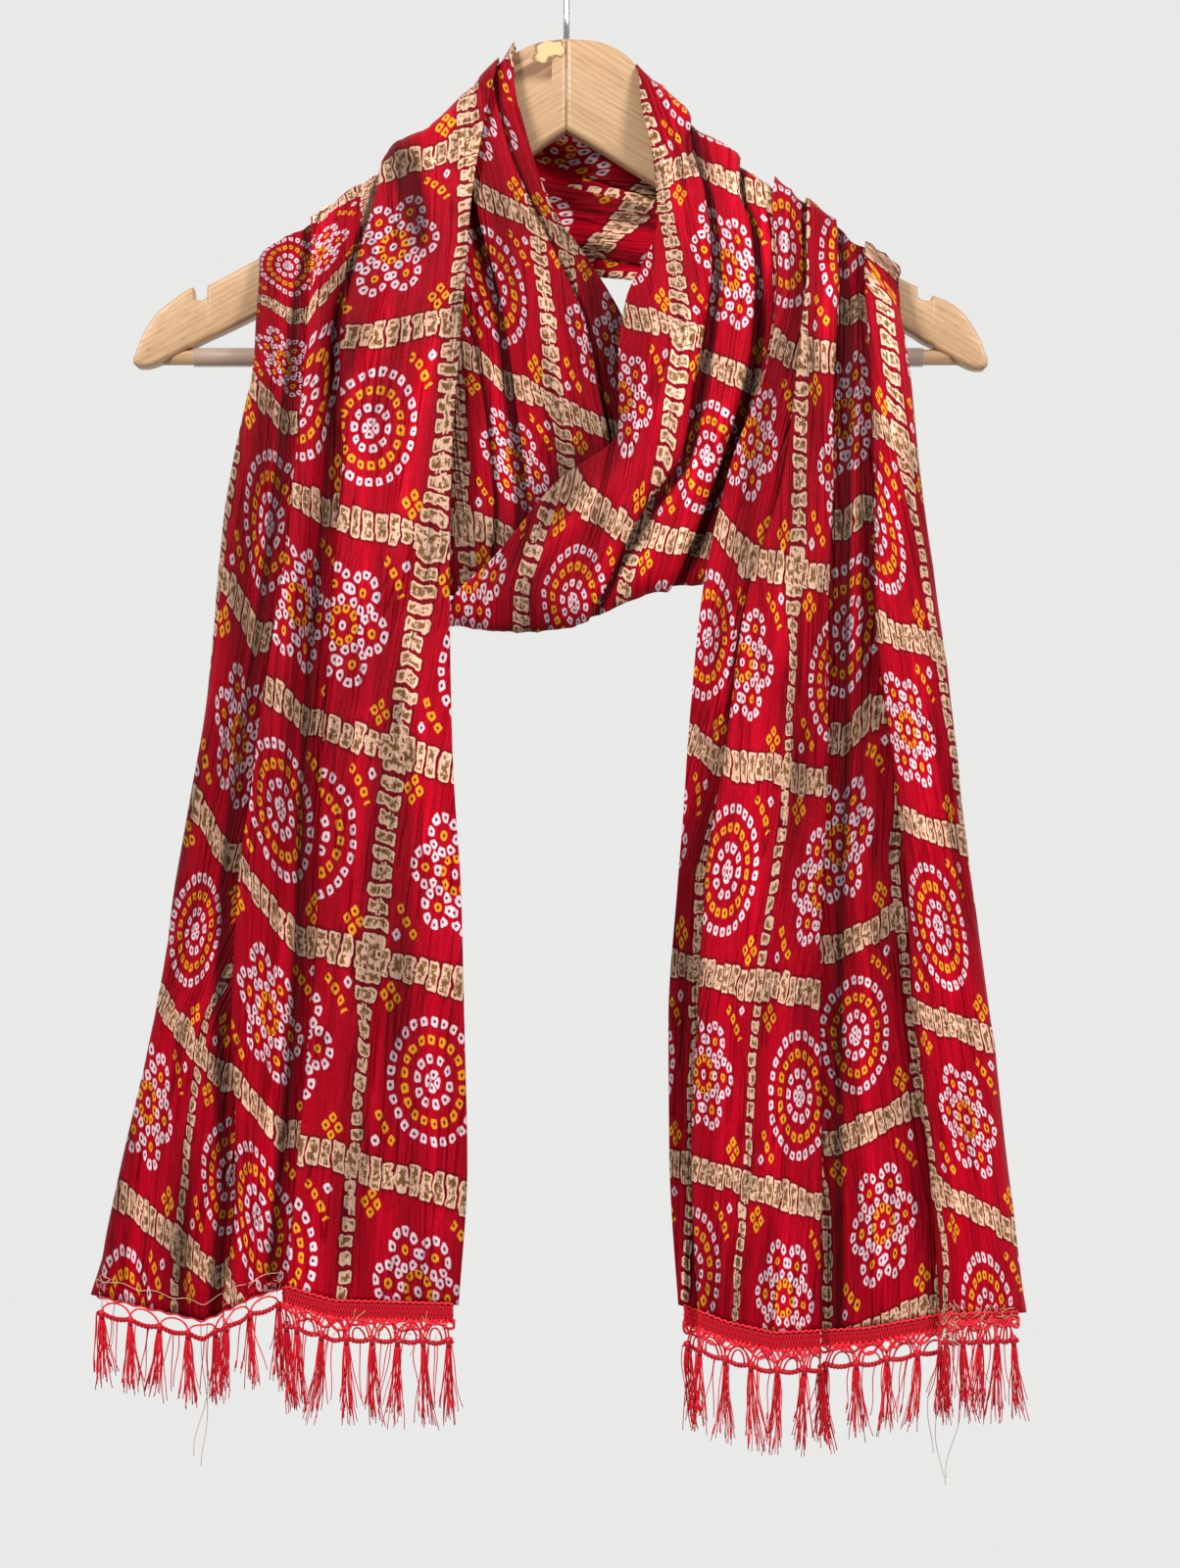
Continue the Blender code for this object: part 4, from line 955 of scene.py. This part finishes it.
class Field:
    """A number at each point of a surface, which adds Math nodes to its material as it is used in sums."""

    def __init__(self, tree, socket):
        self.tree, self.socket = tree, socket

    def sum(self, kind, *others):
        node = self.tree.nodes.new("ShaderNodeMath")
        node.operation = kind
        for slot, value in zip(node.inputs, (self, *others)):
            if isinstance(value, Field):
                self.tree.links.new(value.socket, slot)
            else:
                slot.default_value = value
        return Field(self.tree, node.outputs[0])

    def __add__(self, other):
        return self.sum("ADD", other)

    def __sub__(self, other):
        return self.sum("SUBTRACT", other)

    def __mul__(self, other):
        return self.sum("MULTIPLY", other)

    def __truediv__(self, other):
        return self.sum("DIVIDE", other)

    def size(self):
        """How far this is from 0."""
        return self.sum("ABSOLUTE")

    def flip(self):
        """One less this."""
        return (self * -1.0) + 1.0

    def clamp(self):
        return self.sum("MAXIMUM", 0.0).sum("MINIMUM", 1.0)

    def floor(self):
        return self.sum("FLOOR")

    def round(self):
        return (self + 0.5).floor()

    def astray(self):
        """How far this is from the nearest whole number, with its sign."""
        return self - self.round()

    def over(self, limit):
        """1 where this is more than the limit, else 0."""
        return self.sum("GREATER_THAN", limit)

    def within(self, limit, soft):
        """1 where this is under the limit, easing to 0 over a soft edge."""
        return (((self * -1.0) + limit) / soft + 0.5).clamp()


def choose(switch, one, two):
    """one where the switch is 1, two where it is 0."""
    base = two if isinstance(two, Field) else switch * 0.0 + two
    return base + switch * ((base * -1.0) + one)


def length(x, y):
    """The length of a way that goes x along and y up."""
    return (x * x + y * y).sum("SQRT")


class Surface:
    """A material's tree with short ways to add to it."""

    def __init__(self, name):
        self.material = bpy.data.materials.new(name)
        self.material.use_nodes = True
        self.tree = self.material.node_tree
        self.shader = next(n for n in self.tree.nodes if n.type == "BSDF_PRINCIPLED")

    def node(self, kind, **settings):
        made = self.tree.nodes.new(kind)
        for key, value in settings.items():
            setattr(made, key, value)
        return made

    def link(self, value, socket):
        if isinstance(value, Field):
            value = value.socket
        if isinstance(value, bpy.types.NodeSocket):
            self.tree.links.new(value, socket)
        else:
            socket.default_value = value

    def plane(self, first, second, third=0.0):
        """A place made from fields."""
        joined = self.node("ShaderNodeCombineXYZ")
        for value, socket in zip((first, second, third), joined.inputs):
            self.link(value, socket)
        return joined.outputs[0]

    def parts(self, vector):
        split = self.node("ShaderNodeSeparateXYZ")
        self.link(vector, split.inputs[0])
        return [Field(self.tree, out) for out in split.outputs]

    def noise(self, place, scale, detail=2.0, rough=0.5):
        """Smooth noise from 0 to 1."""
        made = self.node("ShaderNodeTexNoise")
        self.link(place, made.inputs["Vector"])
        made.inputs["Scale"].default_value = scale
        made.inputs["Detail"].default_value = detail
        made.inputs["Roughness"].default_value = rough
        return Field(self.tree, made.outputs[0])

    def grain(self, first, second, third=0.0, detail=2.0, rough=0.5):
        """Smooth noise at a place made from fields, with about one bump to a unit."""
        return self.noise(self.plane(first, second, third), 1.0, detail, rough)

    def spot(self):
        """The place on the object, in metres."""
        return self.node("ShaderNodeTexCoord").outputs["Object"]

    def hash(self, place):
        """A different number from 0 to 1 for each place."""
        made = self.node("ShaderNodeTexWhiteNoise", noise_dimensions="3D")
        self.link(place, made.inputs["Vector"])
        return Field(self.tree, made.outputs["Value"])

    def blend(self, share, under, over):
        """A colour from under to over."""
        mix = self.node("ShaderNodeMix", data_type="RGBA")
        self.link(share, mix.inputs[0])
        self.link(under, mix.inputs[6])
        self.link(over, mix.inputs[7])
        return mix.outputs[2]

    def lit(self, colour, value):
        """A colour made lighter or darker."""
        shade = self.node("ShaderNodeHueSaturation")
        self.link(colour, shade.inputs["Color"])
        self.link(value, shade.inputs["Value"])
        return shade.outputs[0]

    def bump(self, height, depth, strength=1.0):
        """Fine relief, its depth in metres."""
        made = self.node("ShaderNodeBump")
        self.link(height, made.inputs["Height"])
        made.inputs["Distance"].default_value = depth
        made.inputs["Strength"].default_value = strength
        self.tree.links.new(made.outputs[0], self.shader.inputs["Normal"])

    def set(self, **values):
        for key, value in values.items():
            self.link(value, self.shader.inputs[key.replace("_", " ")])


# The ground's dark colour is painted shade, also used for slub yarn tone, and its light colour is a painted
# sheen highlight
GROUND, GROUND_SHADE_AND_SLUB, GROUND_HIGHLIGHT = linear(208, 0, 44), linear(166, 0, 28), linear(236, 26, 70)
PALE, AMBER, PEACH = linear(255, 218, 226), linear(255, 166, 40), linear(250, 200, 168)
OLIVE, EYE_DARK, OUTLINE = linear(138, 96, 58), linear(112, 8, 26), linear(110, 4, 24)
DOT_HALF, DOT_EYE, DOT_SOFT = 2.55, 1.0, 0.45  # mm of the flat cloth
RING_START, RING_STEP, RING_DOTS, RING_DOTS_STEP = 12.6, 9.9, 10.0, 8.0
PETAL_AWAY, PETAL_RING, PETAL_DOTS = 22.5, 9.3, 8.0
CORNER_RING, CORNER_DOTS, CORNER_SPREAD = 46.0, 37.0, 0.87
DIAMOND_AT, DIAMOND_STEP, SINGLE_RING, MOTIF_REACH = 38.5, 3.4, 56.0, 38.0
BAND_HALF, BAND_PITCH, BAND_GAP = 7.6, 9.6, 1.7
LADDER_HALF, LADDER_PITCH, LADDER_GAP = 8.6, 9.4, 2.6
LADDER_THINS, LADDER_LOSES = 3.1, 4.4  # the print row where the ladders thin, and by how much
SLAB_CORNER = 1.4
WARP = 3.2
SLANT = 0.7071  # of a diagonal
NOWHERE = 20.0  # mm, which moves a dot out of sight


def slabs(s, off, along, half, pitch, gap, lane):
    """How far inside a painted slab of a band each point lies, in mm."""
    wobble = (s.grain(along / 15.0, lane * 3.7, off / 11.0, 1.0) - 0.5) * 0.75
    place = along / pitch + wobble
    number = place.floor()
    aside = (place - number - 0.5).size() * pitch
    chance_here = s.hash(s.plane(number, lane, 2.0))
    shift = s.hash(s.plane(number, lane, 7.0)) * 2.0 - 1.0
    ragged = s.grain(along / 4.5, off / 4.5, lane, 1.0) * 1.8 - 0.9
    away = (off + shift).size()
    corner_x = (aside - (pitch / 2 - gap / 2 - SLAB_CORNER)).sum("MAXIMUM", 0.0)
    corner_y = (away - ((chance_here * 0.3 + 0.85) * half - SLAB_CORNER)).sum("MAXIMUM", 0.0)
    block = length(corner_x, corner_y) * -1.0 + SLAB_CORNER + ragged
    core = ((aside * -1.0) + (pitch / 2 - gap / 2)).sum("MINIMUM", (away * -1.0) + half)
    block = choose((corner_x + corner_y).over(0.0), block, core.sum("MAXIMUM", SLAB_CORNER) + ragged)
    bridge = (off + shift * 3.0).size() * -1.0 + 2.0
    return block.sum("MAXIMUM", bridge - chance_here.over(0.35) * 9.0)


def bandhani(s, u, v):
    """The tied-dot print's shares: pale dots, amber dots, dark eyes, slabs, slab outlines and slab middles."""
    warp = s.grain(u * 7.0, v * 7.0, 0.0, 1.0)
    warp_two = s.grain(u * 7.0 + 40.0, v * 7.0, 0.0, 1.0)
    i, j = u.floor(), v.floor()
    x = (u - i - 0.5) * CELL + (warp - 0.5) * WARP
    y = (v - j - 0.5) * CELL + (warp_two - 0.5) * WARP
    away = length(x, y)
    angle = y.sum("ARCTAN2", x)
    half_sum = (i + j) * 0.5
    flower = (half_sum - half_sum.floor()).over(0.25)

    ring = ((away - RING_START) / RING_STEP).round().sum("MAXIMUM", -1.0).sum("MINIMUM", 2.0)
    radius = (ring * RING_STEP + RING_START).sum("MAXIMUM", 3.7)
    dots = (ring * RING_DOTS_STEP + RING_DOTS).sum("MAXIMUM", 4.0)
    turn = angle * dots / math.tau
    ring_off, ring_aside = away - radius, turn.astray() * (radius / dots) * math.tau
    ring_amber = ring.over(0.5) * ring.over(1.5).flip()

    sector = (angle / (math.pi / 3)).round() * (math.pi / 3)
    out = away.over(PETAL_RING + 1.6)
    px = x - out * sector.sum("COSINE") * PETAL_AWAY
    py = y - out * sector.sum("SINE") * PETAL_AWAY
    near = length(px, py)
    petal_turn = py.sum("ARCTAN2", px) * (PETAL_DOTS / math.tau)
    rim = near.over(5.0)
    petal_off = near - rim * PETAL_RING
    petal_aside = rim * petal_turn.astray() * (math.tau * PETAL_RING / PETAL_DOTS)
    petal_amber = choose(out, rim.flip(), rim)

    off, aside = choose(flower, petal_off, ring_off), choose(flower, petal_aside, ring_aside)
    amber = choose(flower, petal_amber, ring_amber)
    motif = away.over(MOTIF_REACH).flip()

    corner_turn = angle * (CORNER_DOTS / math.tau)
    diagonal = (angle * 2.0).sum("SINE").size()
    corner_aside = corner_turn.astray() * (math.tau * CORNER_RING / CORNER_DOTS)
    corner_off = away - CORNER_RING
    side = (x * y).over(0.0)
    corner_off = corner_off + (diagonal.over(CORNER_SPREAD).flip() + side) * NOWHERE
    size_x, size_y = x.size(), y.size()
    single_off = (size_x + size_y) * SLANT - SINGLE_RING + side * NOWHERE
    single_aside = (size_x - size_y) * SLANT
    far_x, far_y = size_x - DIAMOND_AT, size_y - DIAMOND_AT
    tilt_one, tilt_two = (far_x + far_y) * SLANT, (far_x - far_y) * SLANT
    diamond_off = tilt_one.size() - DIAMOND_STEP + side.flip() * NOWHERE
    diamond_aside = tilt_two.size() - DIAMOND_STEP
    outer = away.over((CORNER_RING + SINGLE_RING) / 2)
    corner_off, corner_aside = choose(outer, single_off, corner_off), choose(outer, single_aside, corner_aside)
    off = choose(motif, off, choose(side, diamond_off, corner_off))
    aside = choose(motif, aside, choose(side, diamond_aside, corner_aside))
    amber = choose(motif, amber, choose(side, 1.0, outer.flip()))

    size = s.grain(u * 19.0, v * 19.0, 3.0, 0.0) * 0.9 + (DOT_HALF - 0.45)
    off_squared, aside_squared = off.sum("POWER", 2.0), aside.sum("POWER", 2.0)
    square = (off_squared * off_squared + aside_squared * aside_squared).sum("POWER", 0.25)
    body = ((size - square) / DOT_SOFT + 0.5).clamp()
    eye = length(off, aside).within(DOT_EYE, 0.7)

    lane_v, lane_u = v.round(), u.round()
    wave = (s.grain(u * 3.0, v * 3.0, 9.0, 0.0) - 0.5) * 5.0
    band_off = (v - lane_v) * CELL + wave
    ladder_off = (u - lane_u) * CELL + wave
    thin = ((v - LADDER_THINS) * 4.0).clamp() * LADDER_LOSES
    band = slabs(s, band_off, u * CELL, BAND_HALF, BAND_PITCH, BAND_GAP, lane_v)
    ladder = slabs(s, ladder_off, v * CELL, thin * -1.0 + LADDER_HALF, LADDER_PITCH, LADDER_GAP, lane_u + 50.0)
    inside = band.sum("MAXIMUM", ladder)
    slab = (inside / 0.5 + 0.5).clamp()
    edge = ((inside + 2.0) / 1.3).clamp()
    blotch = s.grain(u * 27.0, v * 30.0, 5.0, 2.0, 0.6)
    middle = ((inside - 1.0) / 0.5).clamp() * ((blotch - 0.43) * 10.0).clamp()
    return body * amber.flip(), body * amber, eye * body, slab, edge, middle


def cloth_material():
    s = Surface("crinkled crepe")
    print_map = s.node("ShaderNodeUVMap", uv_map="print")
    u, v, _ = s.parts(print_map.outputs[0])
    across, along = u * (CELL / 100), v * (CELL / 100)
    streak = s.grain(across * 30.0, along * 1.3, 0.0, 3.0)
    pleat = (s.grain(across * 9.0, along * 0.7, 4.0, 1.0) - 0.5).size()
    patches = ((s.grain(across * 5.0, along * 2.0, 8.0) - 0.4) * 5.0).clamp()
    pleat = pleat.within(0.022, 0.03) * patches
    fine = s.grain(across * 75.0, along * 4.0)
    slub = s.grain(across * 9.0, along * 150.0)
    u = u + (streak - 0.5) * 0.024 + (fine - 0.5) * 0.008
    v = v + (fine - 0.5) * 0.008
    pale, amber, eye, slab, edge, middle = bandhani(s, u, v)
    # The ground is painted darker in the crinkle streaks' hollows as shade, with the slub's yarn tone, and
    # painted with highlight flecks on the fine grain's tops
    tone = streak * 0.9 + slub * 0.35 - 0.35
    ground = s.blend(tone.clamp(), GROUND_SHADE_AND_SLUB, GROUND)
    ground = s.blend(((fine - 0.6) * 2.2).clamp(), ground, GROUND_HIGHLIGHT)
    colour = s.blend(edge * 0.85, ground, OUTLINE)
    colour = s.blend(slab, colour, PEACH)
    colour = s.blend(middle, colour, OLIVE)
    colour = s.blend(pale * slab.flip(), colour, PALE)
    colour = s.blend(amber * slab.flip(), colour, AMBER)
    colour = s.blend(eye * slab.flip(), colour, EYE_DARK)
    # Painted light and shade: the colour is darker in the crinkle streaks' hollows and along the pleat lines,
    # with the slub's yarn tone, and scaled by each point's painted light and shade from the mesh
    painted_light = s.node("ShaderNodeAttribute", attribute_name="painted_light")
    painted_light = Field(s.tree, painted_light.outputs["Fac"])
    colour = s.lit(colour, (streak * 0.38 + slub * 0.2 + 0.45 - pleat * 0.24) * (painted_light * 1.2 + 0.24))
    s.set(Base_Color=colour, Roughness=slub * 0.16 + 0.46, Sheen_Weight=0.03, Sheen_Roughness=0.4)
    s.set(Sheen_Tint=linear(255, 90, 110), Specular_IOR_Level=0.08)
    s.bump(streak * 1.0 + fine * 0.6 + slub * 0.18 - pleat * 0.8, 0.0022, 0.9)
    return s.material


def thread_material():
    s = Surface("satin thread")
    tone = s.node("ShaderNodeVertexColor", layer_name="tone")
    value, _, _ = s.parts(tone.outputs[0])
    twist = s.noise(s.spot(), 900.0, 1.0)
    red = s.blend(value, linear(158, 4, 32), linear(255, 44, 58))
    colour = s.blend(value.over(0.93), red, linear(214, 170, 140))
    s.set(Base_Color=s.lit(colour, twist * 0.5 + 0.75), Roughness=twist * 0.2 + 0.3, Specular_IOR_Level=0.25)
    s.bump(twist, 0.0004, 0.6)
    return s.material


# The wood's lean in radians, and its knot and the dark streak under it in metres
ARM_LEAN = 0.54
KNOT = (-0.0075, -0.0890)
KNOT_RADIUS, KNOT_RIM, KNOT_SOFT, KNOT_LONG = 0.0048, 0.001, 0.0012, 1.5
STREAK_Z, STREAK_HALF, STREAK_END = -0.0985, 0.006, -0.006


def wood_material(name, lean, knot):
    """Pale oak with its grain along the arm, and a bark knot if its place is given."""
    s = Surface(name)
    spot = s.spot()
    turned = s.node("ShaderNodeMapping")
    turned.inputs["Rotation"].default_value = (0, lean, 0)
    s.link(spot, turned.inputs["Vector"])
    x, y, z = s.parts(turned.outputs[0])
    drift = s.grain(x * 9.0, y * 30.0, z * 60.0)
    rings = (z * 2100.0 + y * 500.0 + drift * 14.0).sum("SINE") * 0.5 + 0.5
    pores = s.grain(x * 60.0, y * 1400.0, z * 1400.0, 3.0)
    flecks = s.grain(x * 20.0, y * 420.0, z * 420.0, 3.0)
    colour = s.blend(rings * 0.22 + (flecks - 0.2) * 1.0, linear(192, 156, 118), linear(160, 120, 80))
    colour = s.blend(((pores - 0.56) * 5.0).clamp() * 0.6, colour, linear(124, 86, 52))
    if knot:
        kx, ky, kz = s.parts(spot)
        wander = s.noise(spot, 130.0, 3.0) * 0.012 - 0.006
        far_x, far_z = (kx - knot[0]) / KNOT_LONG + wander, kz - knot[1] + wander
        far = length(far_x, far_z)
        front = (ky * -1.0).over(0.0)
        band = (kz - STREAK_Z).size().within(STREAK_HALF, STREAK_HALF)
        band = band * (kx - STREAK_END).over(0.0).flip()
        streaked = band * front * ((s.grain(x * 14.0, z * 150.0, 3.0) - 0.4) * 7.0).clamp()
        colour = s.blend(streaked * 0.85, colour, linear(104, 64, 36))
        colour = s.blend(far.within(KNOT_RADIUS + KNOT_RIM, KNOT_SOFT) * front, colour, linear(104, 68, 40))
        colour = s.blend(far.within(KNOT_RADIUS, KNOT_SOFT) * front, colour, linear(206, 172, 122))
    s.set(Base_Color=colour, Roughness=flecks * 0.15 + 0.38, Coat_Weight=0.15, Coat_Roughness=0.3)
    s.bump(pores * 0.7 + rings * 0.3, 0.0003, 0.5)
    return s.material


def chrome_material():
    s = Surface("polished chrome")
    smear = s.noise(s.spot(), 90.0, 3.0)
    s.set(Base_Color=s.blend(smear, linear(196, 198, 202), linear(222, 224, 228)), Metallic=1.0)
    s.set(Roughness=smear * 0.12 + 0.1)
    return s.material


def sleeve_material():
    s = Surface("clear ribbed plastic")
    cloud = s.noise(s.spot(), 60.0, 2.0)
    s.set(Base_Color=s.blend(cloud, linear(176, 152, 134), linear(206, 186, 170)), Roughness=cloud * 0.15 + 0.2)
    s.set(Alpha=0.4, IOR=1.45)
    return s.material


cloth_look = cloth_material()
thread_look = thread_material()
for piece in pieces.values():
    piece.data.materials.append(cloth_look)
for piece in trims.values():
    piece.data.materials.append(thread_look)
wood[0].data.materials.append(wood_material("oak left arm", ARM_LEAN, KNOT))
wood[1].data.materials.append(wood_material("oak right arm", -ARM_LEAN, None))
hook.data.materials.append(chrome_material())
dowel.data.materials.append(wood_material("pale dowel", 0.0, None))
clear.data.materials.append(sleeve_material())

# Frame
for made, node, slot in (
    (wood[0], "hanger_left_wing", "oak"),
    (wood[1], "hanger_right_wing", "oak"),
    (hook, "hanger_hook", "hook"),
    (dowel, "trouser_bar", "dowel"),
    (clear, "bar_sleeve", "sleeve"),
    *((piece, node, "cloth") for node, piece in pieces.items()),
    *((piece, name + "_trim", "trim") for name, piece in trims.items()),
):
    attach(made, "root")
    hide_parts(node)
for node, piece in pieces.items():
    going = [trims[name] for name, tail, *_ in TRIMS if node == tail + "_tail"]

# Stage
FLOOR_Z, FLOOR_RADIUS, FLOOR_SIDES = -1750.0, 2500.0, 48
floor_turns = np.arange(FLOOR_SIDES) * math.tau / FLOOR_SIDES
floor_points = [(FLOOR_RADIUS * math.cos(t), FLOOR_RADIUS * math.sin(t), FLOOR_Z) for t in floor_turns]
floor = object_of("floor", floor_points, [list(range(FLOOR_SIDES))])
surface = Surface("pale floor")
cloud = surface.noise(surface.spot(), 3.0)
surface.set(Base_Color=surface.blend(cloud, linear(226, 226, 228), linear(232, 232, 234)), Roughness=0.8)
floor.data.materials.append(surface.material)

world = bpy.data.worlds.new("pale studio")
bpy.context.scene.world = world
world.use_nodes = True
back, front = linear(233, 233, 232), linear(150, 152, 156)
tree = world.node_tree
way = tree.nodes.new("ShaderNodeTexCoord")
split = tree.nodes.new("ShaderNodeSeparateXYZ")
tree.links.new(way.outputs["Generated"], split.inputs[0])
towards_back = ((Field(tree, split.outputs[1]) + 0.2) / 0.9).clamp()
mixed = tree.nodes.new("ShaderNodeMix")
mixed.data_type = "RGBA"
tree.links.new(towards_back.socket, mixed.inputs[0])
mixed.inputs[6].default_value, mixed.inputs[7].default_value = front, back
tree.links.new(mixed.outputs[2], tree.nodes["Background"].inputs[0])
# Lights: name, place, aim, size and power
LIGHTS = (
    ("key", (-0.75, -0.95, 0.45), (0.0, 0.0, -0.4), 0.35, 20.0),
    ("second", (0.8, -0.95, 0.35), (0.0, 0.0, -0.4), 0.35, 15.0),
)
for name, place, aim, size, power in LIGHTS:
    lamp = bpy.data.lights.new(name, "AREA")
    lamp.size, lamp.energy = size, power
    made = bpy.data.objects.new(name, lamp)
    made.location = place
    ahead = np.array(aim) - np.array(place)
    made.rotation_euler = (
        math.atan2(math.hypot(ahead[0], ahead[1]), -ahead[2]), 0, math.atan2(-ahead[0], ahead[1]),
    )
    bpy.context.scene.collection.objects.link(made)
